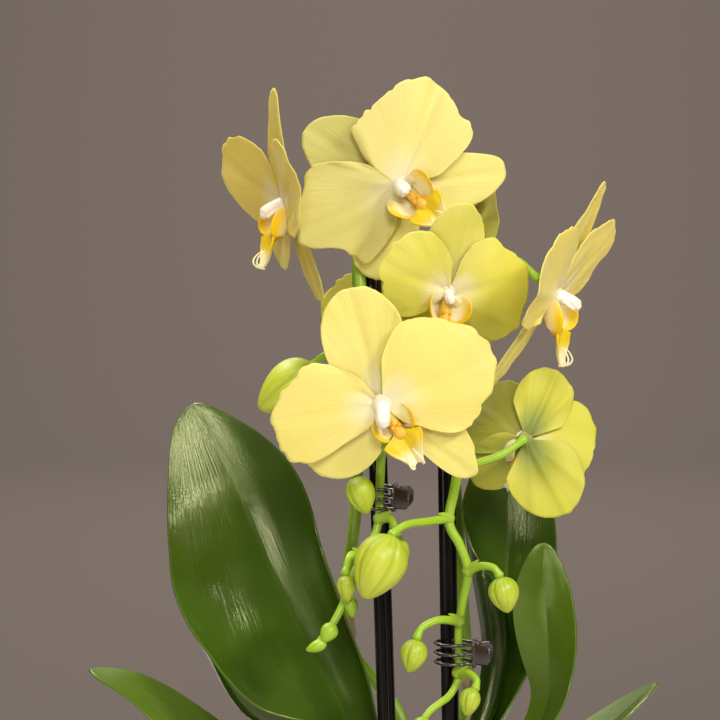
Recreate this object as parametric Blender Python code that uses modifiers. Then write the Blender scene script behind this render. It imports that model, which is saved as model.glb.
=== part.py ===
"""A potted moth orchid: a pot of bark, a crown of strap leaves, and two flower spikes.

Each spike is clipped to a wire hoop that stands in the bark. Lengths are in millimetres and
angles in degrees. The pot stands on z = 0 at the origin, +Z is up, and the front faces -Y.
"""
import math

import bmesh
import bpy
import numpy as np
from mathutils import Quaternion, Vector

MM = 0.001
GAP = 0.35  # between neighbours that touch

# Pot and bark
POT_HEIGHT = 120.0
POT_TOP_RADIUS = 66.0
POT_BASE_RADIUS = 50.0
POT_WALL = 4.5
BARK_TOP = 110.0
BARK_CHUNKS = 18
CHUNK_SIZE = 20.0

# Plant
CROWN_RADIUS = 7.0
CROWN_BOTTOM = 98.0
CROWN_TOP = 148.0
STEM_RADIUS = 2.5
PEDICEL_RADIUS = 1.5
ROOT_RADIUS = 2.0
TEPAL_THICKNESS = 0.8
LIP_THICKNESS = 0.8
LEAF_THICKNESS = 1.8
BLADE_START = 0.12  # share of a blade's length at which its grid begins

# Hoops and clips
WIRE_RADIUS = 2.5
HOOP_HALF_SPAN = 24.0
HOOP_MID_Y = -2.0
HOOP_FOOT_Z = 40.0
CLIP_BAR_RADIUS = 0.75
CLIP_PITCH = 4.0
CLIP_TAB_TILT = 24.0

COLORS = {  # base colour, roughness
    "pot": ((0.78, 0.76, 0.72), 0.35),
    "bark": ((0.16, 0.09, 0.05), 0.9),
    "leaf": ((0.06, 0.17, 0.03), 0.3),
    "stem": ((0.25, 0.42, 0.06), 0.4),
    "bud": ((0.55, 0.66, 0.10), 0.4),
    "root": ((0.42, 0.44, 0.30), 0.7),
    "tepal": ((0.87, 0.80, 0.30), 0.5),
    "lip": ((0.90, 0.62, 0.10), 0.4),
    "column": ((0.90, 0.82, 0.72), 0.4),
    "hoop": ((0.02, 0.015, 0.014), 0.25),
    "clip": ((0.06, 0.03, 0.02), 0.25),
}

# Tepal shapes: angle is counter-clockwise round the bloom from its right-hand side. lift is how far
# the blade leans forward where it starts, bend how much further it turns by its tip, and cup how
# far its edges turn forward.
PETAL = dict(length=45, width=50, fan=118, bulge=0.8, lift=4, bend=-14, cup=-6, wave=0.6, ruffles=2.0)
SEPAL = dict(length=45, width=31, fan=112, bulge=0.9, lift=-2, bend=-8, cup=4, wave=0.3, ruffles=1.0)

BLOOMS = {
    # top left, seen from its side, facing left
    "bloom_1": dict(
        hub=(-54, -14, 402), face=(-0.93, -0.30, -0.18), roll=0, size=1.0,
        dorsal=dict(angle=92, length=49, width=30, lift=6, bend=-6, cup=25),
        petal_right=dict(angle=20, length=43, width=50, lift=22, bend=-6, cup=8),
        petal_left=dict(angle=160, length=44, width=44, lift=14, bend=8),
        sepal_right=dict(angle=292, length=44, width=22, lift=-6, bend=-10),
        sepal_left=dict(angle=236, length=32, width=26, lift=12, bend=-10),
    ),
    # top, turned a half right angle, facing forward
    "bloom_2": dict(
        hub=(-6.6, -42, 410), face=(0.08, -0.99, -0.08), roll=52, size=1.0,
        dorsal=dict(angle=97, length=47, width=36, lift=-10, bend=-6),
        petal_right=dict(angle=29, length=46, width=51, lift=4, bend=-12),
        petal_left=dict(angle=153, length=46, width=42, lift=2, bend=-14),
        sepal_right=dict(angle=315, length=46, width=31, lift=-6, bend=-2),
        sepal_left=dict(angle=203, length=41, width=27, lift=-5, bend=-6),
    ),
    # middle, facing forward and down
    "bloom_3": dict(
        hub=(12.5, -52, 367.5), face=(0.28, -0.90, -0.32), roll=-10, size=0.86,
        dorsal=dict(angle=94, length=46, width=34, lift=9, bend=10, cup=22),
        petal_right=dict(angle=14, length=43, width=54, lift=14, bend=-46, cup=-14),
        petal_left=dict(angle=158, length=43, width=48, lift=18, bend=-24),
        sepal_right=dict(angle=316, length=46, width=30, lift=-10, bend=-6),
        sepal_left=dict(angle=222, length=34, width=26, lift=-8, bend=-6),
    ),
    # front, the largest
    "bloom_4": dict(
        hub=(-14, -68, 323), face=(0.0, -0.995, -0.08), roll=20, size=1.0,
        dorsal=dict(angle=87, length=49, width=34, lift=2, bend=-8),
        petal_right=dict(angle=6, length=46, width=54, lift=6, bend=-18),
        petal_left=dict(angle=169, length=46, width=44, lift=4, bend=-14),
        sepal_right=dict(angle=300, length=47, width=30, lift=-2, bend=-6),
        sepal_left=dict(angle=204, length=40, width=30, lift=-4, bend=-4),
    ),
    # right, seen from its side, facing right and down
    "bloom_5": dict(
        hub=(57, -40, 365), face=(0.84, -0.33, -0.43), roll=0, size=1.0,
        dorsal=dict(angle=92, length=52, width=30, lift=-2, bend=6),
        petal_right=dict(angle=44, length=44, width=38, lift=2, bend=4),
        petal_left=dict(angle=150, length=46, width=54, lift=0, bend=-8),
        sepal_right=dict(angle=312, length=36, width=28, lift=-10, bend=-4),
        sepal_left=dict(angle=240, length=45, width=22, lift=-4, bend=-6),
    ),
    # lower right, seen from behind
    "bloom_6": dict(
        hub=(46, -26, 304), face=(-0.12, 0.97, -0.20), roll=20, size=0.86,
        dorsal=dict(angle=93, length=40, width=34, lift=6, bend=14, cup=10),
        petal_right=dict(angle=22, length=38, width=42, lift=26, bend=20, cup=10),
        petal_left=dict(angle=166, length=38, width=50, lift=4, bend=8, cup=6),
        sepal_right=dict(angle=300, length=36, width=26, lift=24, bend=20, cup=20),
        sepal_left=dict(angle=221, length=42, width=38, lift=2, bend=12, cup=8),
    ),
    # behind the front bloom, facing back
    "bloom_7": dict(
        hub=(-6, 58, 346), face=(0.1, 0.98, -0.12), roll=0, size=0.8,
        dorsal=dict(lift=10), petal_right=dict(lift=14), petal_left=dict(lift=14),
        sepal_right=dict(lift=10), sepal_left=dict(lift=10),
    ),
    # behind the top bloom, facing right and back
    "bloom_8": dict(
        hub=(22, 18, 392), face=(0.93, 0.36, -0.1), roll=0, size=0.86,
        dorsal=dict(lift=4), petal_right=dict(lift=6), petal_left=dict(lift=6),
        sepal_right=dict(lift=4), sepal_left=dict(lift=4),
    ),
}
TEPAL_ANGLES = {"dorsal": 90, "petal_right": 12, "petal_left": 168, "sepal_right": 312, "sepal_left": 228}

# Flower spikes: where each stem runs, and its radius at the bottom and at the tip
SPIKES = {
    "left": dict(
        route=[
            (-2.8, 10.6, 136), (-3, 14, 143), (-2, 20, 156), (-5, 27, 174), (-17, 31, 190), (-27, 32, 203),
            (-29, 32, 215), (-28, 32, 240), (-25, 32, 265), (-24, 32, 300), (-24, 31, 340), (-24, 26, 372),
            (-24, 12, 396), (-24, -6, 401), (-24, -21, 391), (-23, -28, 372), (-20, -32, 345), (-16, -33, 320),
            (-14, -32, 305), (-14.4, -31.2, 293), (-14.8, -31.2, 282), (-15.2, -31.2, 270), (-19, -36, 260),
            (-25, -42, 251), (-29, -46, 240), (-35, -50, 229), (-40, -52, 223),
        ],
        tip_radius=1.5,
        bracts=[(-28, 31, 209), (-24, 31, 320)],
    ),
    "right": dict(
        route=[
            (5.4, 9.6, 140), (7, 13, 145), (12, 25, 156), (21, 32, 170), (25, 33, 185), (24, 32, 203),
            (22, 31, 230),
            (20, 31, 262), (17, 31, 300), (16, 29, 335), (16, 20, 362), (16, 4, 373), (16, -14, 369),
            (17, -22, 352), (18, -26, 330), (18, -30, 308), (17, -34, 288), (14, -36, 271), (18.5, -37, 261),
            (22, -37, 250), (20, -33, 237), (18.4, -29.2, 225), (18.4, -29.2, 214), (18.2, -29.2, 203), (14.5, -34, 197),
            (10, -39, 194.5), (6, -42, 192), (2, -45, 187), (-1, -47, 180),
        ],
        tip_radius=1.4,
        bracts=[(25, 29, 185)],
    ),
}

# Flower stalks: spike, then the route from the stem to the back of the bloom or bud
PEDICELS = {
    "bloom_1": ("left", [(-24, 14, 395), (-34, 8, 400), (-44, -6, 405)]),
    "bloom_2": ("left", [(-24, -10, 402), (-17, -16, 411), (-10, -27, 412)]),
    "bloom_4": ("left", [(-18, -33, 331), (-15, -44, 332), (-14, -56, 327)]),
    "bloom_7": ("left", [(-24, 31, 322), (-20, 37, 336), (-10, 48, 346)]),
    "bud_1": ("left", [(-20, -35, 343), (-29, -32, 342), (-38, -27, 339), (-42.5, -24, 335)]),
    "bud_2": ("left", [(-14, -33, 299), (-20, -36, 301), (-26, -40, 298), (-26, -43, 291)]),
    "bud_4": ("left", [(-15.2, -31.5, 271), (-10, -35.5, 271.5), (-7.5, -40, 265)]),
    "bud_5": ("left", [(-23, -40, 257), (-27, -47, 258), (-29, -52, 252)]),
    "bloom_3": ("right", [(16, -14, 369), (13, -28, 376), (10, -40, 374)]),
    "bloom_5": ("right", [(16, -6, 372), (28, -14, 381), (42, -27, 379), (50, -34, 372)]),
    "bloom_6": ("right", [(17, -34, 292), (25, -37, 295), (36, -37, 299), (45, -35, 305)]),
    "bloom_8": ("right", [(16, 14, 369), (10, 17, 379), (12, 15.5, 388)]),
    "bud_3": ("right", [(14, -36, 272), (6, -44, 272), (-4, -54, 272), (-10, -60, 269)]),
    "bud_6": ("right", [(22, -37, 250), (27, -42, 253), (32, -46, 253), (34.5, -47, 250)]),
    "bud_7": ("right", [(18.4, -32, 228), (10, -40, 230), (3, -45, 228), (0.5, -47, 224)]),
    "bud_8": ("right", [(18, -29.5, 205.5), (22.5, -35, 206.5), (25.5, -39, 204.5), (25, -41, 201.5)]),
}

# Buds: centre, the way the tip points, length and width
BUDS = {
    "bud_1": ((-53.5, -21, 325), (-0.78, 0.1, -0.6), 30, 18),
    "bud_2": ((-22.5, -45.5, 283), (0.3, -0.1, -0.95), 16, 12.5),
    "bud_3": ((-15.5, -63, 256), (-0.42, -0.1, -0.9), 28, 22),
    "bud_4": ((-7.5, -42, 257), (-0.1, 0.1, -1.0), 16, 10),
    "bud_5": ((-28.5, -53, 245.5), (0.1, -0.05, -1.0), 11, 8),
    "bud_6": ((36.5, -48, 242), (0.2, -0.1, -0.97), 15, 13),
    "bud_7": ((-1, -48.5, 216.5), (-0.25, -0.1, -0.96), 14, 11.5),
    "bud_8": ((22.5, -42.5, 196), (-0.2, -0.1, -0.97), 12, 9),
}
TIP_BUDS = {  # small ones that stand on the spikes' tips
    "left": [((-26.6, -48.4, 237), (0.1, 0, -1), 9, 5.5), ((-36, -53, 227), (-0.5, -0.4, -0.8), 9, 7),
             ((-41, -53.5, 221.5), (-0.9, 0, -0.35), 9, 5)],
    "right": [((2.6, -48.4, 186), (0.1, -0.3, -0.9), 10, 8), ((-2.2, -48.2, 177), (-0.3, -0.2, -0.9), 9, 6)],
}

# Leaves: the midrib's route, the way the upper face looks along it, and how each half folds up
LEAVES = {
    "leaf_1": dict(  # large, left
        route=[(-11, 0, 133), (-17, 0, 148), (-25, 1, 168), (-35, 3, 191), (-47, 5, 213), (-61, 8, 242),
               (-71, 11, 266), (-82, 15, 290), (-96, 19, 314)],
        faces=[(0.75, -0.25, 0.6), (0.5, -0.7, 0.4), (0.3, -0.9, 0.3), (0.15, -0.95, 0.15)],
        width=98, left=[(0, 60, 60), (0.3, 14, 140), (0.5, 8, 130), (0.7, 5, 70), (1, 8, 10)],
        right=[(0, 60, 10), (0.3, 60, 0), (0.6, 52, -10), (1, 25, 0)],
        outline=[(0, 0.36), (0.25, 0.7), (0.55, 1.0), (0.85, 1.06), (1, 0.75)],
    ),
    "leaf_2": dict(  # low, left, seen nearly edge-on
        route=[(-9, 0, 122), (-20, -3, 128), (-42, -8, 143), (-68, -14, 164), (-92, -19, 184), (-116, -23, 200),
               (-137, -26, 206)],
        faces=[(0.5, -0.2, 0.85), (0.4, -0.2, 0.88), (0.4, -0.2, 0.9), (-0.1, -0.2, 0.95)],
        width=48, left=[(0, 50, 10), (0.4, 12, 20), (1, 5, 10)], right=[(0, 50, 10), (0.4, 12, 20), (1, 5, 10)],
        outline=[(0, 0.5), (0.3, 0.8), (0.6, 1.0), (0.85, 0.95), (1, 0.7)],
    ),
    "leaf_3": dict(  # tall, right
        route=[(9, 1, 136), (20, 5, 150), (32, 11, 170), (39, 16, 200), (41, 19, 232), (42, 20, 265), (42, 21, 310)],
        faces=[(-0.4, -0.4, 0.8), (-0.2, -0.8, 0.5), (0.0, -1.0, 0.1), (0.05, -1, 0.05)],
        width=58, left=[(0, 60, 40), (0.25, 20, 130), (0.5, 14, 120), (0.7, 8, 40), (1, 6, 10)],
        right=[(0, 60, 20), (0.35, 40, 30), (0.65, 20, 10), (1, 6, 10)],
        outline=[(0, 0.5), (0.25, 0.7), (0.55, 0.95), (0.85, 1.05), (1, 0.8)],
    ),
    "leaf_4": dict(  # small, right, in front of the tall one
        route=[(8, -4, 144), (26, -9, 156), (47, -13, 171), (58, -15, 190), (60, -15, 212), (58, -13, 234),
               (55, -11, 258)],
        faces=[(-0.6, -0.3, 0.7), (-0.4, -0.8, 0.4), (0.1, -1.0, 0.1), (0.1, -1, 0.0)],
        width=36, left=[(0, 60, 10), (0.4, 20, 10), (1, 8, 10)], right=[(0, 60, 10), (0.4, 30, 30), (1, 20, 20)],
        outline=[(0, 0.5), (0.3, 0.75), (0.55, 1.0), (0.8, 1.0), (1, 0.75)],
    ),
    "leaf_5": dict(  # low, right, seen edge-on
        route=[(9, 0, 128), (22, 3, 132), (42, 6, 142), (66, 10, 156), (88, 13, 175), (107, 15, 192)],
        faces=[(-0.5, -0.1, 0.85), (-0.5, -0.1, 0.85), (-0.6, -0.1, 0.8), (-0.7, -0.1, 0.7)],
        width=40, left=[(0, 50, 10), (0.4, 14, 20), (1, 5, 10)], right=[(0, 50, 10), (0.4, 14, 20), (1, 5, 10)],
        outline=[(0, 0.5), (0.3, 0.8), (0.6, 1.0), (0.85, 0.95), (1, 0.7)],
    ),
}

ROOTS = {  # aerial roots, from the crown into the bark
    "root_1": [(-7.5, -4.5, 119), (-18, -12, 122), (-30, -19, 120), (-36, -23, 112), (-37, -24, 98)],
    "root_2": [(3.5, -8.5, 119), (5, -20, 121.5), (6, -33, 120), (6, -41, 112), (6, -43, 98)],
    "root_3": [(7.5, 4.5, 120), (19, 10, 122), (31, 18, 119), (37, 22, 111), (38, 23, 98)],
}

HOOPS = {  # x of the front and back legs at the bark and at the spring of the arch, and its height
    "left": dict(front=(-11.0, -19.0), back=(-8.0, -16.0), spring=360.0),
    "right": dict(front=(15.0, 11.5), back=(19.0, 15.5), spring=325.0),
}

CLIPS = {  # centre of the ring, its inner half width and half depth, and how far it is turned
    "left": dict(centre=(-16.0, -28.6, 280.0), half=(4.9, 6.4), turn=-8.0),
    "right": dict(centre=(16.2, -27.7, 214.0), half=(6.5, 5.7), turn=-8.0),
}


# ---------------------------------------------------------------- small helpers

def unit(vector):
    vector = np.asarray(vector, float)
    return vector / np.linalg.norm(vector)


def smooth_route(points, count):
    """count + 1 points along a Catmull-Rom curve through points, spread evenly."""
    points = np.asarray(points, float)
    chord = np.r_[0, np.cumsum(np.linalg.norm(np.diff(points, axis=0), axis=1))]
    ends = np.vstack([2 * points[0] - points[1], points, 2 * points[-1] - points[-2]])
    spots = []
    for along in np.linspace(0, chord[-1], count + 1):
        index = min(int(np.searchsorted(chord, along, side="right")) - 1, len(points) - 2)
        u = (along - chord[index]) / (chord[index + 1] - chord[index])
        a, b, c, d = ends[index:index + 4]
        spots.append(b + 0.5 * u * ((c - a) + u * (2 * a - 5 * b + 4 * c - d + u * (3 * b - a - 3 * c + d))))
    return np.array(spots)


def along_knots(knots, t, column=1):
    """The value at t of a curve through (t, value) knots, eased between them."""
    places = np.array([knot[0] for knot in knots], float)
    values = np.array([knot[column] for knot in knots], float)
    index = np.clip(np.searchsorted(places, t, side="right") - 1, 0, len(places) - 2)
    u = np.clip((t - places[index]) / (places[index + 1] - places[index]), 0, 1)
    slopes = np.gradient(values, places)
    step = places[index + 1] - places[index]
    return (values[index] * (2 * u**3 - 3 * u**2 + 1) + step * slopes[index] * (u**3 - 2 * u**2 + u)
            + values[index + 1] * (3 * u**2 - 2 * u**3) + step * slopes[index + 1] * (u**3 - u**2))


def material(slot):
    """The Principled material of a slot, made once."""
    if slot in bpy.data.materials:
        return bpy.data.materials[slot]
    color, roughness = COLORS[slot]
    made = bpy.data.materials.new(slot)
    made.use_nodes = True
    shader = made.node_tree.nodes["Principled BSDF"]
    shader.inputs["Base Color"].default_value = (*color, 1)
    shader.inputs["Roughness"].default_value = roughness
    return made


def add(name, mesh, slot, group=None):
    """A named object that shows mesh."""
    mesh.name = name
    mesh.materials.clear()
    mesh.materials.append(material(slot))
    mesh.shade_smooth()
    mesh.set_sharp_from_angle(angle=math.radians(40))
    obj = bpy.data.objects.new(name, mesh)
    (group or ORCHID).objects.link(obj)
    return obj


def evaluated_mesh(obj):
    """A copy of obj's mesh with its modifiers applied and its caps welded."""
    graph = bpy.context.evaluated_depsgraph_get()
    mesh = bpy.data.meshes.new_from_object(obj.evaluated_get(graph))
    shell = bmesh.new()
    shell.from_mesh(mesh)
    bmesh.ops.remove_doubles(shell, verts=shell.verts, dist=0.01 * MM)
    shell.to_mesh(mesh)
    shell.free()
    return mesh


def discard(objects):
    for obj in objects:
        bpy.data.objects.remove(obj)


def fuse(name, pieces, slot, cutters=(), solver="EXACT"):
    """Join overlapping pieces into one body, cut it, and drop the pieces."""
    body = pieces[0]
    groups = []
    for operation, others in (("UNION", pieces[1:]), ("DIFFERENCE", cutters)):
        if not others:
            continue
        group = bpy.data.collections.new(f"{name}_{operation.lower()}")
        bpy.context.scene.collection.children.link(group)
        for other in others:
            for owner in list(other.users_collection):
                owner.objects.unlink(other)
            group.objects.link(other)
        modifier = body.modifiers.new(operation.title(), "BOOLEAN")
        modifier.operation = operation
        modifier.operand_type = "COLLECTION"
        modifier.collection = group
        modifier.solver = solver
        groups.append(group)
    mesh = evaluated_mesh(body)
    discard([body, *pieces[1:], *cutters])
    for group in groups:
        bpy.data.collections.remove(group)
    return add(name, mesh, slot)


# ---------------------------------------------------------------- basic solids

def tube(name, points, radii, slot, sides=8, group=None):
    """A round bar along points, as a welded mesh. radii is one radius or one for each point."""
    curve = bpy.data.curves.new(name, "CURVE")
    curve.dimensions = "3D"
    curve.bevel_depth = MM
    curve.bevel_resolution = (sides - 4) // 2
    curve.use_fill_caps = True
    line = curve.splines.new("POLY")
    line.points.add(len(points) - 1)
    radii = np.broadcast_to(radii, len(points))
    for spot, point, radius in zip(line.points, points, radii):
        spot.co = (*(MM * np.asarray(point)), 1)
        spot.radius = float(radius)
    guide = bpy.data.objects.new(name, curve)
    bpy.context.scene.collection.objects.link(guide)
    mesh = evaluated_mesh(guide)
    discard([guide])
    return add(name, mesh, slot, group)


def blade(name, form, rows, columns, thickness, slot, group=None):
    """A thin closed blade: a grid bent by form(u, v), split into triangles, then thickened."""
    sheet = bmesh.new()
    bmesh.ops.create_grid(sheet, x_segments=rows, y_segments=columns, size=0.5)
    flat = np.array([vert.co[:] for vert in sheet.verts])
    for vert, point in zip(sheet.verts, form(flat[:, 0] + 0.5, 2 * flat[:, 1])):
        vert.co = MM * Vector(point)
    bmesh.ops.triangulate(sheet, faces=sheet.faces, quad_method="FIXED")
    mesh = bpy.data.meshes.new(name)
    sheet.to_mesh(mesh)
    sheet.free()
    obj = add(name, mesh, slot, group)
    modifier = obj.modifiers.new("Thickness", "SOLIDIFY")
    modifier.thickness = thickness * MM
    modifier.offset = 0
    return obj


def ball(name, centre, axis, length, width, slot, segments=8, rings=6, group=None):
    """An egg with its narrow end along axis."""
    egg = bmesh.new()
    bmesh.ops.create_uvsphere(egg, u_segments=segments, v_segments=rings, radius=1)
    turn = Vector(axis).to_track_quat("Z", "Y")
    for vert in egg.verts:
        height = vert.co.z
        swell = 1 - 0.28 * height - 0.12 * height * height
        shaped = Vector((vert.co.x * width / 2 * swell, vert.co.y * width / 2 * swell, height * length / 2))
        vert.co = MM * (Vector(centre) + turn @ shaped)
    mesh = bpy.data.meshes.new(name)
    egg.to_mesh(mesh)
    egg.free()
    return add(name, mesh, slot, group)


def turned(name, profile, slot, steps=28):
    """A solid of revolution about Z from a closed (radius, z) profile that runs down its outer side."""
    outline = bmesh.new()
    verts = [outline.verts.new((radius * MM, 0, z * MM)) for radius, z in profile]
    for index, vert in enumerate(verts):
        if index + 1 < len(verts):
            outline.edges.new((vert, verts[index + 1]))
    mesh = bpy.data.meshes.new(name)
    outline.to_mesh(mesh)
    outline.free()
    obj = add(name, mesh, slot)
    screw = obj.modifiers.new("Turn", "SCREW")
    screw.steps = steps
    screw.render_steps = steps
    screw.use_merge_vertices = True
    screw.merge_threshold = 0.00002
    return obj


# ---------------------------------------------------------------- flowers

def bloom_axes(bloom):
    """(right, up, face) of a bloom, seen from its front."""
    face = unit(bloom["face"])
    up = unit(np.array([0, 0, 1]) - face[2] * face)
    right = np.cross(up, face)
    turn = math.radians(bloom["roll"])
    return (math.cos(turn) * right + math.sin(turn) * up, math.cos(turn) * up - math.sin(turn) * right, face)


def petal_form(origin, out, face, shape):
    """form(u, v) of a blade that fans out from origin: u runs from base to edge, v from side to side."""
    side = np.cross(face, out)
    length = shape["length"]
    width = shape["width"]

    def form(u, v):
        reach = BLADE_START + (1 - BLADE_START) * u
        turn = np.radians(shape["fan"]) * v
        along = reach * length * (0.5 + 0.5 * np.cos(turn))**shape["bulge"]
        across = reach * width / 2 * np.sin(turn)
        bend = math.radians(shape["bend"]) or 1e-6
        start = math.radians(shape["lift"])
        slope = start + bend * along / length
        ahead = length / bend * (np.sin(slope) - math.sin(start))
        rise = length / bend * (math.cos(start) - np.cos(slope))
        curl = math.radians(shape["cup"]) / (width / 2) or 1e-9
        sideways = np.sin(curl * across) / curl
        proud = (1 - np.cos(curl * across)) / curl
        proud += shape["wave"] * reach**2 * np.sin(math.pi * shape["ruffles"] * v + shape["phase"])
        return (origin + (ahead - proud * np.sin(slope))[:, None] * out + sideways[:, None] * side
                + (rise + proud * np.cos(slope))[:, None] * face)

    return form


def tepals(name, bloom):
    """The three sepals and two petals of a bloom, fused to the cap on its stalk."""
    right, up, face = bloom_axes(bloom)
    hub = np.array(bloom["hub"], float)
    size = bloom["size"]
    pieces = [ball(f"{name}_cap", hub - 0.9 * size * face, -face, 6.8 * size, 10.5 * size, "tepal", 8, 5)]
    for index, (part, angle) in enumerate(TEPAL_ANGLES.items()):
        is_petal = part.startswith("petal")
        shape = dict(PETAL if is_petal else SEPAL, angle=angle, phase=1.3 * index)
        shape.update(bloom[part])
        shape["length"] *= size
        shape["width"] *= size
        turn = math.radians(shape["angle"])
        out = math.cos(turn) * right + math.sin(turn) * up
        start = hub + size * (1.5 if is_petal else -1.3) * face
        rows = 3 if is_petal else 2
        columns = 8 if is_petal else 6
        pieces.append(blade(part, petal_form(start, out, face, shape), rows, columns, TEPAL_THICKNESS, "tepal"))
    fuse(f"{name}_tepals", pieces, "tepal")


def column(name, bloom):
    """The column at the middle of a bloom, bent down to its cap."""
    right, up, face = bloom_axes(bloom)
    hub = np.array(bloom["hub"], float)
    spots = [(3.3, 0.3, 2.3), (5.5, 1.0, 2.2), (8.8, 1.3, 2.4), (11.2, 0.7, 2.8), (13.0, -0.9, 2.1), (13.4, -1.8, 0.8)]
    size = bloom["size"]
    route = [hub + size * (ahead * face + high * up) for ahead, high, _ in spots]
    tube(f"{name}_column", route, [size * radius for _, _, radius in spots], "column", 6)


def lip(name, bloom):
    """The lip under the column: a claw, two side lobes, and a middle lobe with two tendrils."""
    right, up, face = bloom_axes(bloom)
    size = bloom["size"]

    def place(across, high, ahead):
        return np.array(bloom["hub"], float) + size * (across * right + high * up + ahead * face)

    def toward(across, high, ahead):
        return unit(across * right + high * up + ahead * face)

    middle = dict(length=19 * size, width=14 * size, fan=150, bulge=0.7, lift=-6, bend=48, cup=30, wave=0, ruffles=1,
                  phase=0)
    lobe = dict(length=12 * size, width=10 * size, fan=150, bulge=0.8, lift=0, bend=20, cup=30, wave=0, ruffles=1,
                phase=0)
    claw = tube("claw", [place(0, -5.6, 4.2), place(0, -7.0, 7.0), place(0, -8.2, 10.5)], [1.4, 2.0, 2.4], "lip", 4)
    pieces = [claw]
    down = toward(0, -0.92, 0.40)
    front = toward(0, 0.40, 0.92)
    bowl = petal_form(place(0, -6.5, 8.6), down, front, middle)
    pieces.append(blade("middle", bowl, 3, 4, LIP_THICKNESS, "lip"))
    for hand in (-1, 1):
        out = toward(0.66 * hand, -0.10, 0.74)
        inward = unit(np.cross(out, toward(0, 1, 0.1)) * -hand)
        start = place(0.9 * hand, -8.0, 7.8)
        pieces.append(blade("lobe", petal_form(start, out, inward, lobe), 2, 4, LIP_THICKNESS, "lip"))
        root = bowl(np.array([0.9]), np.array([0.12 * hand]))[0]
        tendril = [root, root + size * (0.9 * hand * right - 3.2 * up + 2.2 * face),
                   root + size * (1.9 * hand * right - 0.8 * up + 5.4 * face)]
        pieces.append(tube("tendril", tendril, [1.0, 0.7, 0.4], "lip", 4))
    fuse(f"{name}_lip", pieces, "lip")


# ---------------------------------------------------------------- stems, buds, leaves and roots

def spike(side, plan):
    """A flowering stem with its bloom and bud stalks, its large bracts and the small buds at its tip."""
    route = smooth_route(plan["route"], 46)
    radii = np.interp(np.linspace(0, 1, len(route)), [0, 0.6, 1], [STEM_RADIUS + 0.3, STEM_RADIUS, plan["tip_radius"]])
    pieces = [tube("stem", route, radii, "stem", 6)]
    for carried, (owner, stops) in PEDICELS.items():
        if owner != side:
            continue
        path = smooth_route(stops, 4)
        pieces.append(tube("stalk", path, np.linspace(PEDICEL_RADIUS + 0.4, PEDICEL_RADIUS, len(path)), "stem", 6))
    for spot in plan["bracts"]:
        foot = np.array(spot, float)
        pieces.append(tube("bract", [foot, foot + [0, 0, 4], foot + [1.5, -1.5, 11]], [3.4, 3.3, 0.6], "stem", 6))
    for centre, axis, length, width in TIP_BUDS[side]:
        pieces.append(ball("tip_bud", centre, axis, length, width, "stem", 6, 5))
    fuse(f"spike_{side}", pieces, "stem")


def leaf(name, plan):
    """A strap leaf on its midrib, each half folded up by (t, fold, curl) knots."""
    route = smooth_route(plan["route"], 120)
    faces = smooth_route(plan["faces"], 120)
    tangents = np.gradient(route, axis=0)
    tangents /= np.linalg.norm(tangents, axis=1)[:, None]
    faces -= (faces * tangents).sum(axis=1)[:, None] * tangents
    faces /= np.linalg.norm(faces, axis=1)[:, None]
    sides = np.cross(tangents, faces)
    places = np.linspace(0, 1, len(route))
    steps = (np.arange(12) + 0.5) / 12

    def at(table, t):
        return np.stack([np.interp(t, places, table[:, axis]) for axis in range(3)], axis=1)

    def form(u, v):
        t = 0.5 - 0.5 * np.cos(math.pi * (0.06 + 0.925 * u))
        half = plan["width"] / 2 * along_knots(plan["outline"], t) * 2 * np.sqrt(t * (1 - t))
        fold = np.where(v < 0, along_knots(plan["left"], t), along_knots(plan["right"], t))
        curl = np.where(v < 0, along_knots(plan["left"], t, 2), along_knots(plan["right"], t, 2))
        share = 1 - (1 - np.abs(v))**1.4
        turn = np.radians(fold[:, None] + curl[:, None] * (share[:, None] * steps)**2)
        across = half * share * np.cos(turn).mean(axis=1)
        proud = half * share * np.sin(turn).mean(axis=1)
        return (at(route, t) + (np.sign(v) * across)[:, None] * at(sides, t) + proud[:, None] * at(faces, t))

    blade(name, form, 10, 6, LEAF_THICKNESS, "leaf")


# ---------------------------------------------------------------- pot, bark, hoops and clips

def pot():
    """A plain tapered pot with a rolled rim and a flat closed bottom."""
    slant = (POT_TOP_RADIUS - POT_BASE_RADIUS) / POT_HEIGHT
    inner_base = POT_BASE_RADIUS - POT_WALL + slant * POT_WALL
    profile = [
        (0, POT_WALL), (inner_base - 4, POT_WALL), (inner_base, POT_WALL + 4),
        (POT_TOP_RADIUS - POT_WALL - 0.6, POT_HEIGHT - 3), (POT_TOP_RADIUS - POT_WALL + 0.6, POT_HEIGHT - 0.8),
        (POT_TOP_RADIUS - POT_WALL / 2, POT_HEIGHT), (POT_TOP_RADIUS - 0.8, POT_HEIGHT - 0.8),
        (POT_TOP_RADIUS, POT_HEIGHT - 3), (POT_BASE_RADIUS + 1.0, 3), (POT_BASE_RADIUS, 1), (POT_BASE_RADIUS - 1.5, 0),
        (0, 0),
    ]
    turned("pot", profile, "pot")


def leg_spots(hoop):
    """Where a hoop's two legs pass through the bark."""
    return [(hoop["front"][0], HOOP_MID_Y - HOOP_HALF_SPAN), (hoop["back"][0], HOOP_MID_Y + HOOP_HALF_SPAN)]


def root_routes():
    return {name: smooth_route(stops, 7) for name, stops in ROOTS.items()}


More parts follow.
